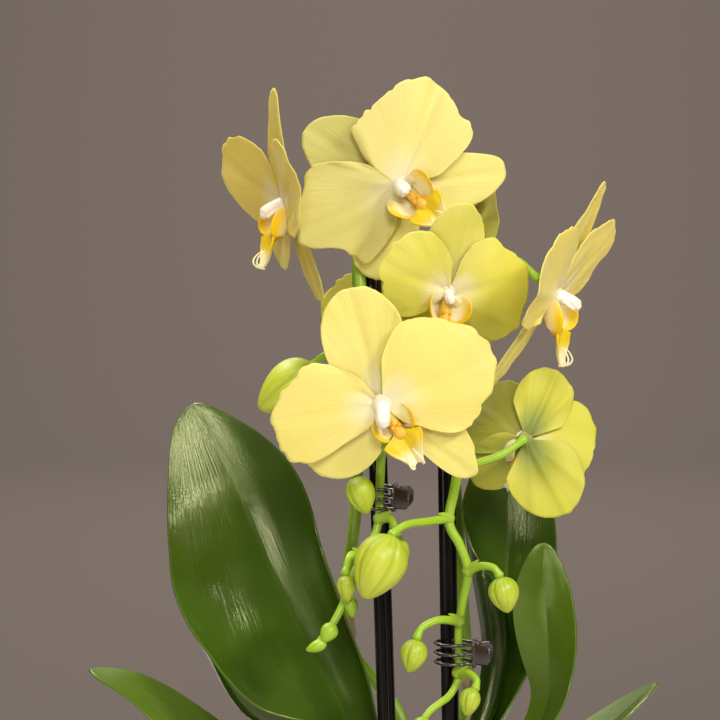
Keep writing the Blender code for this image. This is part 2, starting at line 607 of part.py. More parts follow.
def bark():
    """The bark that fills the pot, with a broken top and a plain hole for all that stands in it."""
    slant = (POT_TOP_RADIUS - POT_BASE_RADIUS) / POT_HEIGHT
    low = POT_WALL + 4 + GAP
    low_radius = POT_BASE_RADIUS - POT_WALL - GAP + slant * low - 0.3
    top_radius = POT_TOP_RADIUS - POT_WALL - GAP - slant * (POT_HEIGHT - BARK_TOP) - 0.6
    fill = turned("bark_fill", [(0, BARK_TOP), (top_radius - 3, BARK_TOP), (top_radius, BARK_TOP - 3),
                                (low_radius, low), (0, low)], "bark")
    fill.data = evaluated_mesh(fill)
    fill.modifiers.clear()
    draw = np.random.default_rng(7)
    pieces = [fill]
    for index in range(BARK_CHUNKS):
        spread = math.sqrt((index + 0.5) / BARK_CHUNKS) * (top_radius - 17)
        turn = index * math.radians(137.5)
        chunk = bmesh.new()
        bmesh.ops.create_cube(chunk, size=1)
        size = Vector(CHUNK_SIZE * (0.7 + 0.5 * draw.random(3)))
        spin = Quaternion(Vector(draw.normal(size=3)), draw.uniform(0.2, 0.7))
        centre = Vector((spread * math.cos(turn), spread * math.sin(turn), BARK_TOP - 3))
        for vert in chunk.verts:
            shaped = Vector((vert.co.x * size.x, vert.co.y * size.y, vert.co.z * size.z * 0.7))
            vert.co = MM * (centre + spin @ shaped)
        mesh = bpy.data.meshes.new("chunk")
        chunk.to_mesh(mesh)
        chunk.free()
        pieces.append(add("chunk", mesh, "bark"))
    holes = [((0, 0), CROWN_RADIUS + 1.5, CROWN_BOTTOM - GAP)]
    holes += [(spot, WIRE_RADIUS + 0.6, HOOP_FOOT_Z - GAP) for hoop in HOOPS.values() for spot in leg_spots(hoop)]
    cutters = [tube("hole", [(*spot, bottom), (*spot, POT_HEIGHT + 5)], radius, "bark", 12)
               for spot, radius, bottom in holes]
    cutters += [tube("channel", [*path, path[-1] - np.array([0, 0, 1.0])], ROOT_RADIUS + 0.8, "bark", 8)
                for path in root_routes().values()]
    fuse("bark", pieces, "bark", cutters)


def crown():
    """The short stem that the leaves, spikes and roots grow from."""
    heights = [CROWN_BOTTOM, 104, 112, 124, 138, CROWN_TOP - 4, CROWN_TOP]
    widths = [share * CROWN_RADIUS for share in (0.65, 0.9, 1, 1, 0.95, 0.7, 0.3)]
    tube("crown", [(0, 0, z) for z in heights], widths, "leaf", 12)


def hoop(side, plan):
    """A wire hoop: two straight legs and a half-round arch that runs from front to back."""
    front_y = HOOP_MID_Y - HOOP_HALF_SPAN
    back_y = HOOP_MID_Y + HOOP_HALF_SPAN
    points = [(plan["front"][0], front_y, HOOP_FOOT_Z), (plan["front"][0], front_y, BARK_TOP + 12)]
    for step in range(13):
        turn = math.pi * step / 12
        share = step / 12
        x = plan["front"][1] * (1 - share) + plan["back"][1] * share
        points.append((x, HOOP_MID_Y - HOOP_HALF_SPAN * math.cos(turn),
                       plan["spring"] + HOOP_HALF_SPAN * math.sin(turn)))
    points += [(plan["back"][0], back_y, BARK_TOP + 12), (plan["back"][0], back_y, HOOP_FOOT_Z)]
    tube(f"hoop_{side}", points, WIRE_RADIUS, "hoop", 6)


def clip(side, plan):
    """A sprung claw clip round the stem and the hoop's front leg: two jaws that turn on one pin.

    Across the clip, +1 is its tab end and -1 the tips of its prongs; the front jaw moves.
    """
    centre = np.array(plan["centre"])
    turn = math.radians(plan["turn"])
    tabward = np.array([math.cos(turn), math.sin(turn), 0])
    forward = np.array([math.sin(turn), -math.cos(turn), 0])
    upward = np.array([0, 0, 1.0])
    half_width = plan["half"][0] + CLIP_BAR_RADIUS + GAP
    half_depth = plan["half"][1] + CLIP_BAR_RADIUS + GAP
    pin = half_width + 2.6

    def place(across, ahead, high):
        return centre + across * tabward + ahead * forward + high * upward

    for jaw, hand in (("front", 1), ("back", -1)):
        pieces = []
        for level in (-1, 0, 1):
            sweep = [math.radians(angle) for angle in (40, 72, 106, 140, 170)]
            prong = [place(half_width * math.cos(angle), hand * half_depth * math.sin(angle), level * CLIP_PITCH)
                     for angle in sweep]
            prong.insert(0, place(pin - 0.9, hand * 2.9, level * CLIP_PITCH))
            pieces.append(tube("prong", prong, CLIP_BAR_RADIUS, "clip", 4))
        bar = [place(pin - 1.2, hand * 2.9, -CLIP_PITCH - 1), place(pin - 1.2, hand * 2.9, CLIP_PITCH + 1)]
        pieces.insert(0, tube("bar", bar, 1.1, "clip", 4))
        lean = math.radians(CLIP_TAB_TILT)
        tab_out = math.cos(lean) * tabward + hand * math.sin(lean) * forward
        tab_start = place(pin - 1.6, hand * 2.7, 0)
        corners = [(0, -3.2), (2.5, -4.2), (7.0, -4.2), (8.4, -2.8), (8.4, 2.8), (7.0, 4.2), (2.5, 4.2), (0, 3.2)]
        plate = bmesh.new()
        outline = [plate.verts.new(MM * Vector(tab_start + along * tab_out + high * upward)) for along, high in corners]
        plate.faces.new(outline)
        bmesh.ops.triangulate(plate, faces=plate.faces)
        mesh = bpy.data.meshes.new("tab")
        plate.to_mesh(mesh)
        plate.free()
        tab = add("tab", mesh, "clip")
        modifier = tab.modifiers.new("Thickness", "SOLIDIFY")
        modifier.thickness = 1.0 * MM
        modifier.offset = 0
        pieces.append(tab)
        cutters = []
        if jaw == "front":
            knuckle = [place(pin, 0, -1.6), place(pin, 0, 1.6)]
            pieces.append(tube("knuckle", knuckle, 1.65, "clip", 8))
            pieces.append(tube("web", [place(pin - 1.2, 2.9, 0), place(pin, 1.3, 0)], 1.1, "clip", 4))
            cutters.append(tube("bore", [place(pin, 0, -4), place(pin, 0, 4)], 1.0, "clip", 8))
        else:
            pieces.append(tube("pin", [place(pin, 0, -4.6), place(pin, 0, 4.6)], 0.6, "clip", 8))
            for low in (-4.6, 2.0):
                pieces.append(tube("ear", [place(pin, 0, low), place(pin, 0, low + 2.6)], 1.65, "clip", 8))
                pieces.append(tube("web", [place(pin - 1.2, -2.9, low + 1.3), place(pin, -0.6, low + 1.3)],
                                   1.0, "clip", 4))
        fuse(f"clip_{side}_{jaw}", pieces, "clip", cutters)


for old in list(bpy.data.objects):
    bpy.data.objects.remove(old)
ORCHID = bpy.data.collections.new("potted_orchid")
bpy.context.scene.collection.children.link(ORCHID)

pot()
bark()
crown()
for hoop_side, hoop_plan in HOOPS.items():
    hoop(hoop_side, hoop_plan)
for clip_side, clip_plan in CLIPS.items():
    clip(clip_side, clip_plan)
for root_name, root_route in root_routes().items():
    tube(root_name, root_route, [0.8 * ROOT_RADIUS] + 6 * [ROOT_RADIUS] + [0.8 * ROOT_RADIUS], "root", 6)
for leaf_name, leaf_plan in LEAVES.items():
    leaf(leaf_name, leaf_plan)
for spike_side, spike_plan in SPIKES.items():
    spike(spike_side, spike_plan)
for bud_name, (bud_centre, bud_axis, bud_length, bud_width) in BUDS.items():
    ball(bud_name, bud_centre, bud_axis, bud_length, bud_width, "bud")
for bloom_name, bloom_plan in BLOOMS.items():
    tepals(bloom_name, bloom_plan)
    column(bloom_name, bloom_plan)
    lip(bloom_name, bloom_plan)
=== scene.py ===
"""A potted orchid, dressed: fine petals, leaves, stems, bark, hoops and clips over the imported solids."""

import math

import bpy
import numpy as np
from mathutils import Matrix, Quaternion, Vector


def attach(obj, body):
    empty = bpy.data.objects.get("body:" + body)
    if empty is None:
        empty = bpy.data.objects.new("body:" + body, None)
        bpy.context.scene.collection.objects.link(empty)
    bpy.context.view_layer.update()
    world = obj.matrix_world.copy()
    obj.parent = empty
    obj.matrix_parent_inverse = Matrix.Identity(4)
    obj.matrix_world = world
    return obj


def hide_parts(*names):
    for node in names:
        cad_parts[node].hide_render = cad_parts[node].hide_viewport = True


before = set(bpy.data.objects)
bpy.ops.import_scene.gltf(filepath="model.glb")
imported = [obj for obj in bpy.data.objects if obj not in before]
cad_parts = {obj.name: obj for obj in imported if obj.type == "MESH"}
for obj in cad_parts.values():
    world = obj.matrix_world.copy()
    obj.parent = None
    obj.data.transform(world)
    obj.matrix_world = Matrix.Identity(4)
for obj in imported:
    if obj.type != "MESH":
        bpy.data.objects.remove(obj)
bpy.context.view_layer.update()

MM = 0.001
GAP = 0.35  # between neighbours that touch

# Pot and bark
POT_HEIGHT = 120.0
POT_TOP_RADIUS = 66.0
POT_BASE_RADIUS = 50.0
POT_WALL = 4.5
BARK_TOP = 110.0
BARK_CHIPS = 210

# Plant
CROWN_RADIUS = 7.0
CROWN_BOTTOM = 98.0
CROWN_TOP = 148.0
STEM_RADIUS = 2.5
PEDICEL_RADIUS = 1.5
ROOT_RADIUS = 2.0
LEAF_THICKNESS = 1.8

# Hoops and clips
WIRE_RADIUS = 2.5
HOOP_HALF_SPAN = 24.0
HOOP_MID_Y = -2.0
HOOP_FOOT_Z = 40.0
CLIP_BAR_RADIUS = 0.75
CLIP_PITCH = 4.0
CLIP_TAB_TILT = 24.0
CLIP_TAB_LENGTH = 8.4

# Petals and sepals, where a bloom doesn't say otherwise. lift: how far the blade leans forward where it starts. bend:
# how much further it turns by its tip. cup: how far its edges turn forward. dent: how deep the midrib lies. notch,
# ruffle: how rough the edge is in outline and in height. angle: anticlockwise round the bloom from its right.
# The last entry of each sets painted shade: how far the blade's colour is darkened toward olive where it faces away
# from the light.
PETAL = dict(length=45, width=50, fan=142, bulge=0.8, lift=4, bend=-14, cup=-6, wave=0.6, ruffles=2.0, dent=0.7,
             notch=0.028, ruffle=1.5, sepal=0.0, shade=0.0)
SEPAL = dict(length=45, width=31, fan=112, bulge=0.9, lift=-2, bend=-8, cup=4, wave=0.3, ruffles=1.0, dent=0.7,
             notch=0.007, ruffle=0.55, sepal=1.0, shade=0.0)


def blade(angle, length, width, lift, bend, **more):
    """What a bloom sets for one of its petals or sepals."""
    return dict(angle=angle, length=length, width=width, lift=lift, bend=bend, **more)


# Blooms. tone: how green, how deep and how pale the yellow is. column, lip: nod is how far each hangs below the way
# the bloom faces and turn how far it is turned, in degrees; scale is its size, and ear that of the side lobes.
# edge: a share of the reach at places from one side edge (-1) to the other (1). folds: place, height and spread.
# rim: how far the margin turns toward the face. Where a blade is given a shade value, its colour is darkened as painted
# shade, for blades turned from the light or lying behind others.
BLOOMS = {
    # top left, seen from its side, facing left
    "bloom_1": dict(
        hub=(-54, -14, 402), face=(-0.93, -0.3, -0.18), roll=0, size=1, tone=(0.1, 0.5, 0),
        dorsal=blade(92, 49, 28, -1, -4, bulge=1.2, cup=25, edge=[(-1, 0.8), (-0.4, 0.85), (0, 1), (0.4, 0.85),
            (1, 0.8)]),
        petal_right=blade(20, 43, 42, 8, -6, cup=8),
        petal_left=blade(152, 42, 44, 14, 8, edge=[(-1, 0.9), (-0.7, 0.86), (-0.45, 0.98), (0, 1.02), (0.5, 0.95),
            (1, 0.75)]),
        sepal_right=blade(290, 44, 20, -3, 1),
        sepal_left=blade(236, 32, 26, 12, -10),
    ),
    # top, turned a half right angle, facing forward
    "bloom_2": dict(
        hub=(-6.6, -42, 410), face=(0.08, -0.99, -0.08), roll=52, size=1, tone=(0.15, 0.05, 0.5),
        column=dict(nod=0), lip=dict(nod=0),
        dorsal=blade(97, 47, 36, -10, -6, shade=0.4, edge=[(-1, 0.85), (-0.4, 0.9), (0, 0.97), (0.45, 0.9),
            (1, 0.88)]),
        petal_right=blade(29, 46, 51, 4, -12, shade=0.08, edge=[(-1, 0.9), (-0.85, 1), (-0.5, 0.9), (-0.25, 0.95),
            (-0.1, 0.99), (0.2, 0.93), (0.4, 0.82), (0.75, 0.83), (0.95, 0.92), (1, 0.85)],
            folds=[(-0.18, -4.2, 0.08), (0.1, 1.8, 0.2)], rim=[(-1, 2), (-0.5, 0), (0, 0), (1, -3)]),
        petal_left=blade(153, 46, 42, 2, -14, shade=0.28, edge=[(-1, 1), (-0.8, 1.07), (-0.45, 0.96), (0, 1.02),
            (0.2, 0.99), (0.35, 0.87), (0.65, 0.95), (0.85, 1.17), (1, 1.1)], folds=[(0.3, -1.5, 0.15)],
            rim=[(-1, 0), (0, -1), (0.4, 2.5), (0.7, -1.5), (1, 1)]),
        sepal_right=blade(315, 46, 31, -6, -2, edge=[(-1, 0.75), (-0.4, 0.9), (0, 0.98), (0.2, 0.97), (0.45, 0.8),
            (1, 0.75)]),
        sepal_left=blade(203, 41, 27, -5, -6),
    ),
    # middle, facing forward and down
    "bloom_3": dict(
        hub=(12.5, -52, 367.5), face=(0.28, -0.9, -0.32), roll=-10, size=0.86, tone=(0.68, 0, 0),
        column=dict(nod=12, scale=0.75),
        dorsal=blade(95, 46, 30, 4, 2, cup=-10, edge=[(-1, 0.9), (-0.4, 0.93), (0, 1), (0.5, 1.02), (1, 1)]),
        petal_right=blade(18, 43, 58, 14, -46, cup=-14, edge=[(-1, 1), (-0.5, 1.1), (0, 1), (0.3, 0.86), (0.7, 0.82),
            (1, 0.9)]),
        petal_left=blade(164, 43, 48, 15, -24, edge=[(-1, 0.9), (-0.5, 0.97), (-0.2, 0.98), (0.1, 0.89), (0.5, 0.8),
            (1, 0.9)]),
        sepal_right=blade(316, 46, 30, -10, -6),
        sepal_left=blade(222, 34, 26, -8, -6),
    ),
    # front, the largest
    "bloom_4": dict(
        hub=(-14, -68, 323), face=(0, -0.995, -0.08), roll=20, size=1, tone=(0, 0, 0.12),
        column=dict(nod=34, turn=-18), lip=dict(nod=26, turn=12, ear=0.8),
        dorsal=blade(87, 49, 34, 2, -8, edge=[(-1, 1.05), (-0.5, 1.02), (0, 1), (0.6, 0.98), (1, 0.9)]),
        petal_right=blade(6, 46, 54, 6, -18, edge=[(-1, 0.55), (-0.82, 0.84), (-0.65, 0.9), (-0.3, 0.93),
            (-0.05, 1.05), (0.18, 1.05), (0.42, 0.94), (0.65, 0.94), (0.88, 1.02), (1, 1.05)],
            folds=[(-0.3, 1.2, 0.2)]),
        petal_left=blade(169, 46, 44, 4, -14, edge=[(-1, 0.85), (-0.85, 0.94), (-0.5, 0.87), (-0.2, 0.93),
            (0.1, 1.01), (0.45, 1.01), (0.6, 0.9), (0.72, 0.6), (1, 0.4)]),
        sepal_right=blade(300, 47, 30, -2, -6, edge=[(-1, 0.4), (-0.32, 0.6), (-0.2, 0.88), (0, 1.03), (0.3, 0.98),
            (1, 1)]),
        sepal_left=blade(204, 40, 30, -4, -4),
    ),
    # right, seen from its side, facing right and down
    "bloom_5": dict(
        hub=(57, -40, 365), face=(0.84, -0.33, -0.43), roll=0, size=1, tone=(0.1, 0.15, 0),
        column=dict(nod=-8),
        dorsal=blade(92, 52, 26, -2, 6, bulge=1.2),
        petal_right=blade(44, 44, 38, 2, 4),
        petal_left=blade(150, 46, 54, 0, -8, edge=[(-1, 0.7), (-0.6, 0.8), (-0.2, 0.95), (0.3, 1), (0.7, 1),
            (1, 0.95)], folds=[(0.35, 2.5, 0.12)], rim=[(-1, 0), (0, 2), (0.5, 5), (1, 2)]),
        sepal_right=blade(312, 36, 28, -10, -4),
        sepal_left=blade(240, 50, 18, -1, -2),
    ),
    # lower right, seen from behind
    "bloom_6": dict(
        hub=(46, -26, 304), face=(-0.12, 0.97, -0.2), roll=20, size=0.86, tone=(0.75, 0, 0),
        dorsal=blade(99, 40, 29, 6, 14, cup=10, dent=1.6, folds=[(-0.5, -1.5, 0.12), (0.45, -1.5, 0.12)]),
        petal_right=blade(22, 38, 42, 26, 20, cup=10, shade=0.8),
        petal_left=blade(166, 38, 50, 4, 8, cup=6, edge=[(-1, 0.75), (-0.6, 0.92), (-0.2, 1), (0.2, 0.93),
            (0.6, 1.02), (1, 0.9)], folds=[(0.1, -1.6, 0.12), (0.5, 1.5, 0.15)]),
        sepal_right=blade(300, 36, 26, 24, 20, fan=140, cup=20, shade=0.35),
        sepal_left=blade(221, 42, 38, 2, 12, bulge=1.1, cup=8, dent=2, folds=[(-0.45, -1.6, 0.1), (0.4, -1.6, 0.1)]),
    ),
    # behind the front bloom, facing back
    "bloom_7": dict(
        hub=(-6, 58, 346), face=(0.1, 0.98, -0.12), roll=0, size=0.8, tone=(0.6, 0.2, 0),
        dorsal=dict(lift=10), petal_right=dict(lift=14), petal_left=dict(lift=14), sepal_right=dict(lift=10),
        sepal_left=dict(lift=10),
    ),
    # behind the top bloom, facing right and back; greener and deeper in tone than the rest, partly its own colour and
    # partly painted shade, as it lies behind the others
    "bloom_8": dict(
        hub=(22, 18, 392), face=(0.93, 0.36, -0.1), roll=0, size=0.86, tone=(1, 0.5, 0),
        dorsal=dict(length=32, lift=4),
        petal_right=dict(length=36, lift=6),
        petal_left=dict(length=40, lift=6, shade=0.5),
        sepal_right=dict(lift=4),
        sepal_left=dict(lift=4),
    ),
}
TEPAL_ROWS, TEPAL_COLUMNS = 28, 72
PLAIN_FAN = 118  # a blade that fans out further has its edge, folds and rim drawn in by as much
TEPAL_ANGLES = {"dorsal": 90, "petal_right": 12, "petal_left": 168, "sepal_right": 312, "sepal_left": 228}

# Flower spikes: where each stem runs, its radius at the tip and the feet of its dry bracts
SPIKES = {
    "left": dict(
        route=[(-2.8, 10.6, 136), (-3, 14, 143), (-2, 20, 156), (-5, 27, 174), (-17, 31, 190), (-27, 32, 203),
               (-29, 32, 215), (-28, 32, 240), (-25, 32, 265), (-24, 32, 300), (-24, 31, 340), (-24, 26, 372),
               (-24, 12, 396), (-24, -6, 401), (-24, -21, 391), (-23, -28, 372), (-20, -32, 345), (-16, -33, 320),
               (-14, -32, 305), (-14.4, -31.2, 293), (-14.8, -31.2, 282), (-15.2, -31.2, 270), (-19, -36, 260),
               (-25, -42, 251), (-29, -46, 240), (-35, -50, 229), (-40, -52, 223)],
        tip_radius=1.5, bracts=[(-28, 31, 209), (-24, 31, 320)]),
    "right": dict(
        route=[(5.4, 9.6, 140), (7, 13, 145), (12, 25, 156), (21, 32, 170), (25, 33, 185), (24, 32, 203),
               (22, 31, 230), (20, 31, 262), (17, 31, 300), (16, 29, 335), (16, 20, 362), (16, 4, 373),
               (16, -14, 369), (17, -22, 352), (18, -26, 330), (18, -30, 308), (17, -34, 288), (14, -36, 271),
               (18.5, -37, 261), (22, -37, 250), (20, -33, 237), (18.4, -29.2, 225), (18.4, -29.2, 214),
               (18.2, -29.2, 203), (14.5, -34, 197), (10, -39, 194.5), (6, -42, 192), (2, -45, 187), (-1, -47, 180)],
        tip_radius=1.4, bracts=[(25, 29, 185)]),
}

# Flower stalks: spike, then the route from the stem to the back of the bloom or bud
PEDICELS = {
    "bloom_1": ("left", [(-24, 14, 395), (-34, 8, 400), (-44, -6, 405)]),
    "bloom_2": ("left", [(-24, -10, 402), (-17, -16, 411), (-10, -27, 412)]),
    "bloom_4": ("left", [(-18, -33, 331), (-15, -44, 332), (-14, -56, 327)]),
    "bloom_7": ("left", [(-24, 31, 322), (-20, 37, 336), (-10, 48, 346)]),
    "bud_1": ("left", [(-20, -35, 343), (-29, -32, 342), (-38, -27, 339), (-42.5, -24, 335)]),
    "bud_2": ("left", [(-14, -33, 299), (-20, -36, 301), (-26, -40, 298), (-26, -43, 291)]),
    "bud_4": ("left", [(-15.2, -31.5, 271), (-10, -35.5, 271.5), (-7.5, -40, 265)]),
    "bud_5": ("left", [(-23, -40, 257), (-27, -47, 258), (-29, -52, 252)]),
    "bloom_3": ("right", [(16, -14, 369), (13, -28, 376), (10, -40, 374)]),
    "bloom_5": ("right", [(16, -6, 372), (28, -14, 381), (42, -27, 379), (50, -34, 372)]),
    "bloom_6": ("right", [(17, -34, 292), (25, -37, 295), (36, -37, 299), (45, -35, 305)]),
    "bloom_8": ("right", [(16, 14, 369), (10, 17, 379), (12, 15.5, 388)]),
    "bud_3": ("right", [(14, -36, 272), (6, -44, 272), (-4, -54, 272), (-10, -60, 269)]),
    "bud_6": ("right", [(22, -37, 250), (27, -42, 253), (32, -46, 253), (34.5, -47, 250)]),
    "bud_7": ("right", [(18.4, -32, 228), (10, -40, 230), (3, -45, 228), (0.5, -47, 224)]),
    "bud_8": ("right", [(18, -29.5, 205.5), (22.5, -35, 206.5), (25.5, -39, 204.5), (25, -41, 201.5)]),
}

# Buds: centre, the way the tip points, length, width, number of seams and how yellow
BUDS = {
    "bud_1": ((-53.5, -21, 325), (-0.78, 0.1, -0.6), 30, 20.16, 3, 0.9),
    "bud_2": ((-22.5, -45.5, 283), (0.3, -0.1, -0.95), 16, 11.875, 3, 0.4),
    "bud_3": ((-15.5, -63, 256), (-0.42, -0.1, -0.9), 28, 20.9, 5, 0.9),
    "bud_4": ((-7.5, -42, 257), (-0.1, 0.1, -1.0), 16, 9.5, 3, 0.4),
    "bud_5": ((-28.5, -53, 245.5), (0.1, -0.05, -1.0), 11, 7.6, 3, 0.4),
    "bud_6": ((36.5, -48, 242), (0.2, -0.1, -0.97), 15, 12.35, 3, 0.4),
    "bud_7": ((-1, -48.5, 216.5), (-0.25, -0.1, -0.96), 14, 10.925, 3, 0.4),
    "bud_8": ((22.5, -42.5, 196), (-0.2, -0.1, -0.97), 12, 8.55, 3, 0.4),
}
BUD_SEAM_DEPTH = 0.12  # a share of the radius
BUD_SPIN = 0.7  # radians, from each bud to the next, so that no two show the same seams
TIP_BUDS = {  # small ones that stand on the spikes' tips
    "left": [((-26.6, -48.4, 237), (0.1, 0, -1), 9, 5.5), ((-36, -53, 227), (-0.5, -0.4, -0.8), 9, 7),
             ((-41, -53.5, 221.5), (-0.9, 0, -0.35), 9, 5)],
    "right": [((2.6, -48.4, 186), (0.1, -0.3, -0.9), 10, 8), ((-2.2, -48.2, 177), (-0.3, -0.2, -0.9), 9, 6)],
}

# Leaves: the midrib's route, the way the upper face looks along it, and for each half (place along the leaf,
# half width, how far it folds up at the midrib, how far it curls up on its way out, how late the curl comes, else 2)
LEAVES = {
    "leaf_1": dict(  # large, left
        route=[(-11, 0, 133), (-17, 0, 148), (-25, 1, 168), (-35, 3, 191), (-47, 5, 213), (-61, 8, 242),
               (-71, 11, 266), (-82, 15, 290), (-96, 19, 314)],
        faces=[(0.75, -0.25, 0.6), (0.5, -0.7, 0.4), (0.3, -0.9, 0.3), (0.15, -0.95, 0.15)],
        left=[(0, 18, 60, 60), (0.2, 74, 4, 150, 2.2), (0.35, 76, -6, 130, 3.2), (0.5, 62, -2, 80, 4),
              (0.65, 50, 0, 20, 3), (0.82, 42, 2, 5), (1, 38, 6, 5)],
        right=[(0, 14, 60, 10), (0.2, 16, 45, 60, 1.2), (0.4, 27, 32, 95, 1), (0.6, 34, 30, 80, 1),
               (0.8, 34, 16, 45, 1), (1, 20, 6, 20)],
        tint=0.0,
    ),
    "leaf_2": dict(  # low, left, seen nearly edge-on
        route=[(-9, 0, 122), (-20, -3, 128), (-42, -8, 138), (-68, -14, 157), (-92, -19, 178), (-116, -23, 197),
               (-137, -26, 206)],
        faces=[(0.5, -0.2, 0.85), (0.4, -0.2, 0.88), (0.4, -0.2, 0.9), (-0.1, -0.2, 0.95)],
        left=[(0, 12, 50, 10), (0.4, 21, 8, 10), (0.7, 27, 0, 0), (1, 18, 0, 0)],
        right=[(0, 12, 50, 10), (0.4, 17, 12, 10), (0.7, 18, 8, 5), (1, 15, 5, 5)],
        tint=1.0,
    ),
    "leaf_3": dict(  # tall, right
        route=[(9, 1, 136), (20, 5, 150), (33, 11, 170), (40, 16, 200), (41, 19, 232), (42, 20, 265), (42, 21, 310)],
        faces=[(-0.4, -0.4, 0.8), (-0.2, -0.8, 0.5), (0.0, -1.0, 0.1), (0.05, -1, 0.05)],
        left=[(0, 15, 60, 40), (0.25, 26, 35, 200, 1.5), (0.41, 30, 30, 240, 1.5), (0.55, 34, 20, 230, 1.6),
              (0.7, 30, 10, 120), (0.8, 26, 8, 20), (1, 22, 6, 10)],
        right=[(0, 15, 60, 20), (0.35, 23, 40, 30), (0.65, 25, 20, 10), (1, 21, 6, 10)],
        tint=0.0,
    ),
    "leaf_4": dict(  # small, right, in front of the tall one
        route=[(8, -4, 144), (26, -9, 156), (48, -13, 171), (57.5, -15, 190), (57.8, -15, 212), (55.5, -13, 234),
               (55, -11, 258)],
        faces=[(-0.6, -0.3, 0.7), (-0.9, -0.2, 0.5), (-0.9, -0.5, 0.2), (-0.3, -1.0, 0.1), (0.1, -1, 0.0)],
        left=[(0, 8, 60, 10), (0.4, 8, 20, 5), (0.55, 10, 12, 5), (0.7, 15, 10, 8), (0.85, 18, 10, 8), (1, 18, 8, 8)],
        right=[(0, 8, 60, 10), (0.4, 10, 20, 10), (0.55, 14, 16, 10), (0.7, 16, 14, 10), (0.85, 17, 12, 8),
               (1, 15, 10, 8)],
        tint=0.6,
    ),
    "leaf_5": dict(  # low, right, seen edge-on
        route=[(9, 0, 128), (22, 3, 132), (42, 6, 142), (66, 10, 156), (88, 13, 175), (107, 15, 192)],
        faces=[(-0.5, -0.1, 0.85), (-0.5, -0.1, 0.85), (-0.6, -0.1, 0.8), (-0.7, -0.1, 0.7)],
        left=[(0, 10, 50, 10), (0.4, 17, 14, 20), (0.7, 20, 8, 12), (1, 14, 5, 10)],
        right=[(0, 10, 50, 10), (0.4, 17, 14, 20), (0.7, 20, 8, 12), (1, 14, 5, 10)],
        tint=0.7,
    ),
}

LEAF_ROWS, LEAF_COLUMNS = 90, 56

ROOTS = {  # aerial roots, from the crown into the bark
    "root_1": [(-7.5, -4.5, 119), (-18, -12, 122), (-30, -19, 120), (-36, -23, 112), (-37, -24, 98)],
    "root_2": [(3.5, -8.5, 119), (5, -20, 121.5), (6, -33, 120), (6, -41, 112), (6, -43, 98)],
    "root_3": [(7.5, 4.5, 120), (19, 10, 122), (31, 18, 119), (37, 22, 111), (38, 23, 98)],
}

HOOPS = {  # x of the front and back legs at the bark and at the spring of the arch, and its height
    "left": dict(front=(-11.0, -19.0), back=(-8.0, -16.0), spring=360.0),
    "right": dict(front=(15.0, 11.5), back=(19.0, 15.5), spring=325.0),
}

CLIPS = {  # centre of the ring, its inner half width and half depth, and how far it is turned
    "left": dict(centre=(-16.0, -28.6, 280.0), half=(4.9, 6.4), turn=-8.0),
    "right": dict(centre=(16.2, -27.7, 214.0), half=(6.5, 5.7), turn=-8.0),
}


# ---- camera, floor and light

HALF_VIEW = 7.5  # degrees
CAMERA_PITCH = 5.0  # degrees below the horizon
CAMERA_DISTANCE = 1167.0
CAMERA_AIM = (-23.0, 0.0, 335.0)


def add(name, data):
    thing = bpy.data.objects.new(name, data)
    bpy.context.scene.collection.objects.link(thing)
    return thing


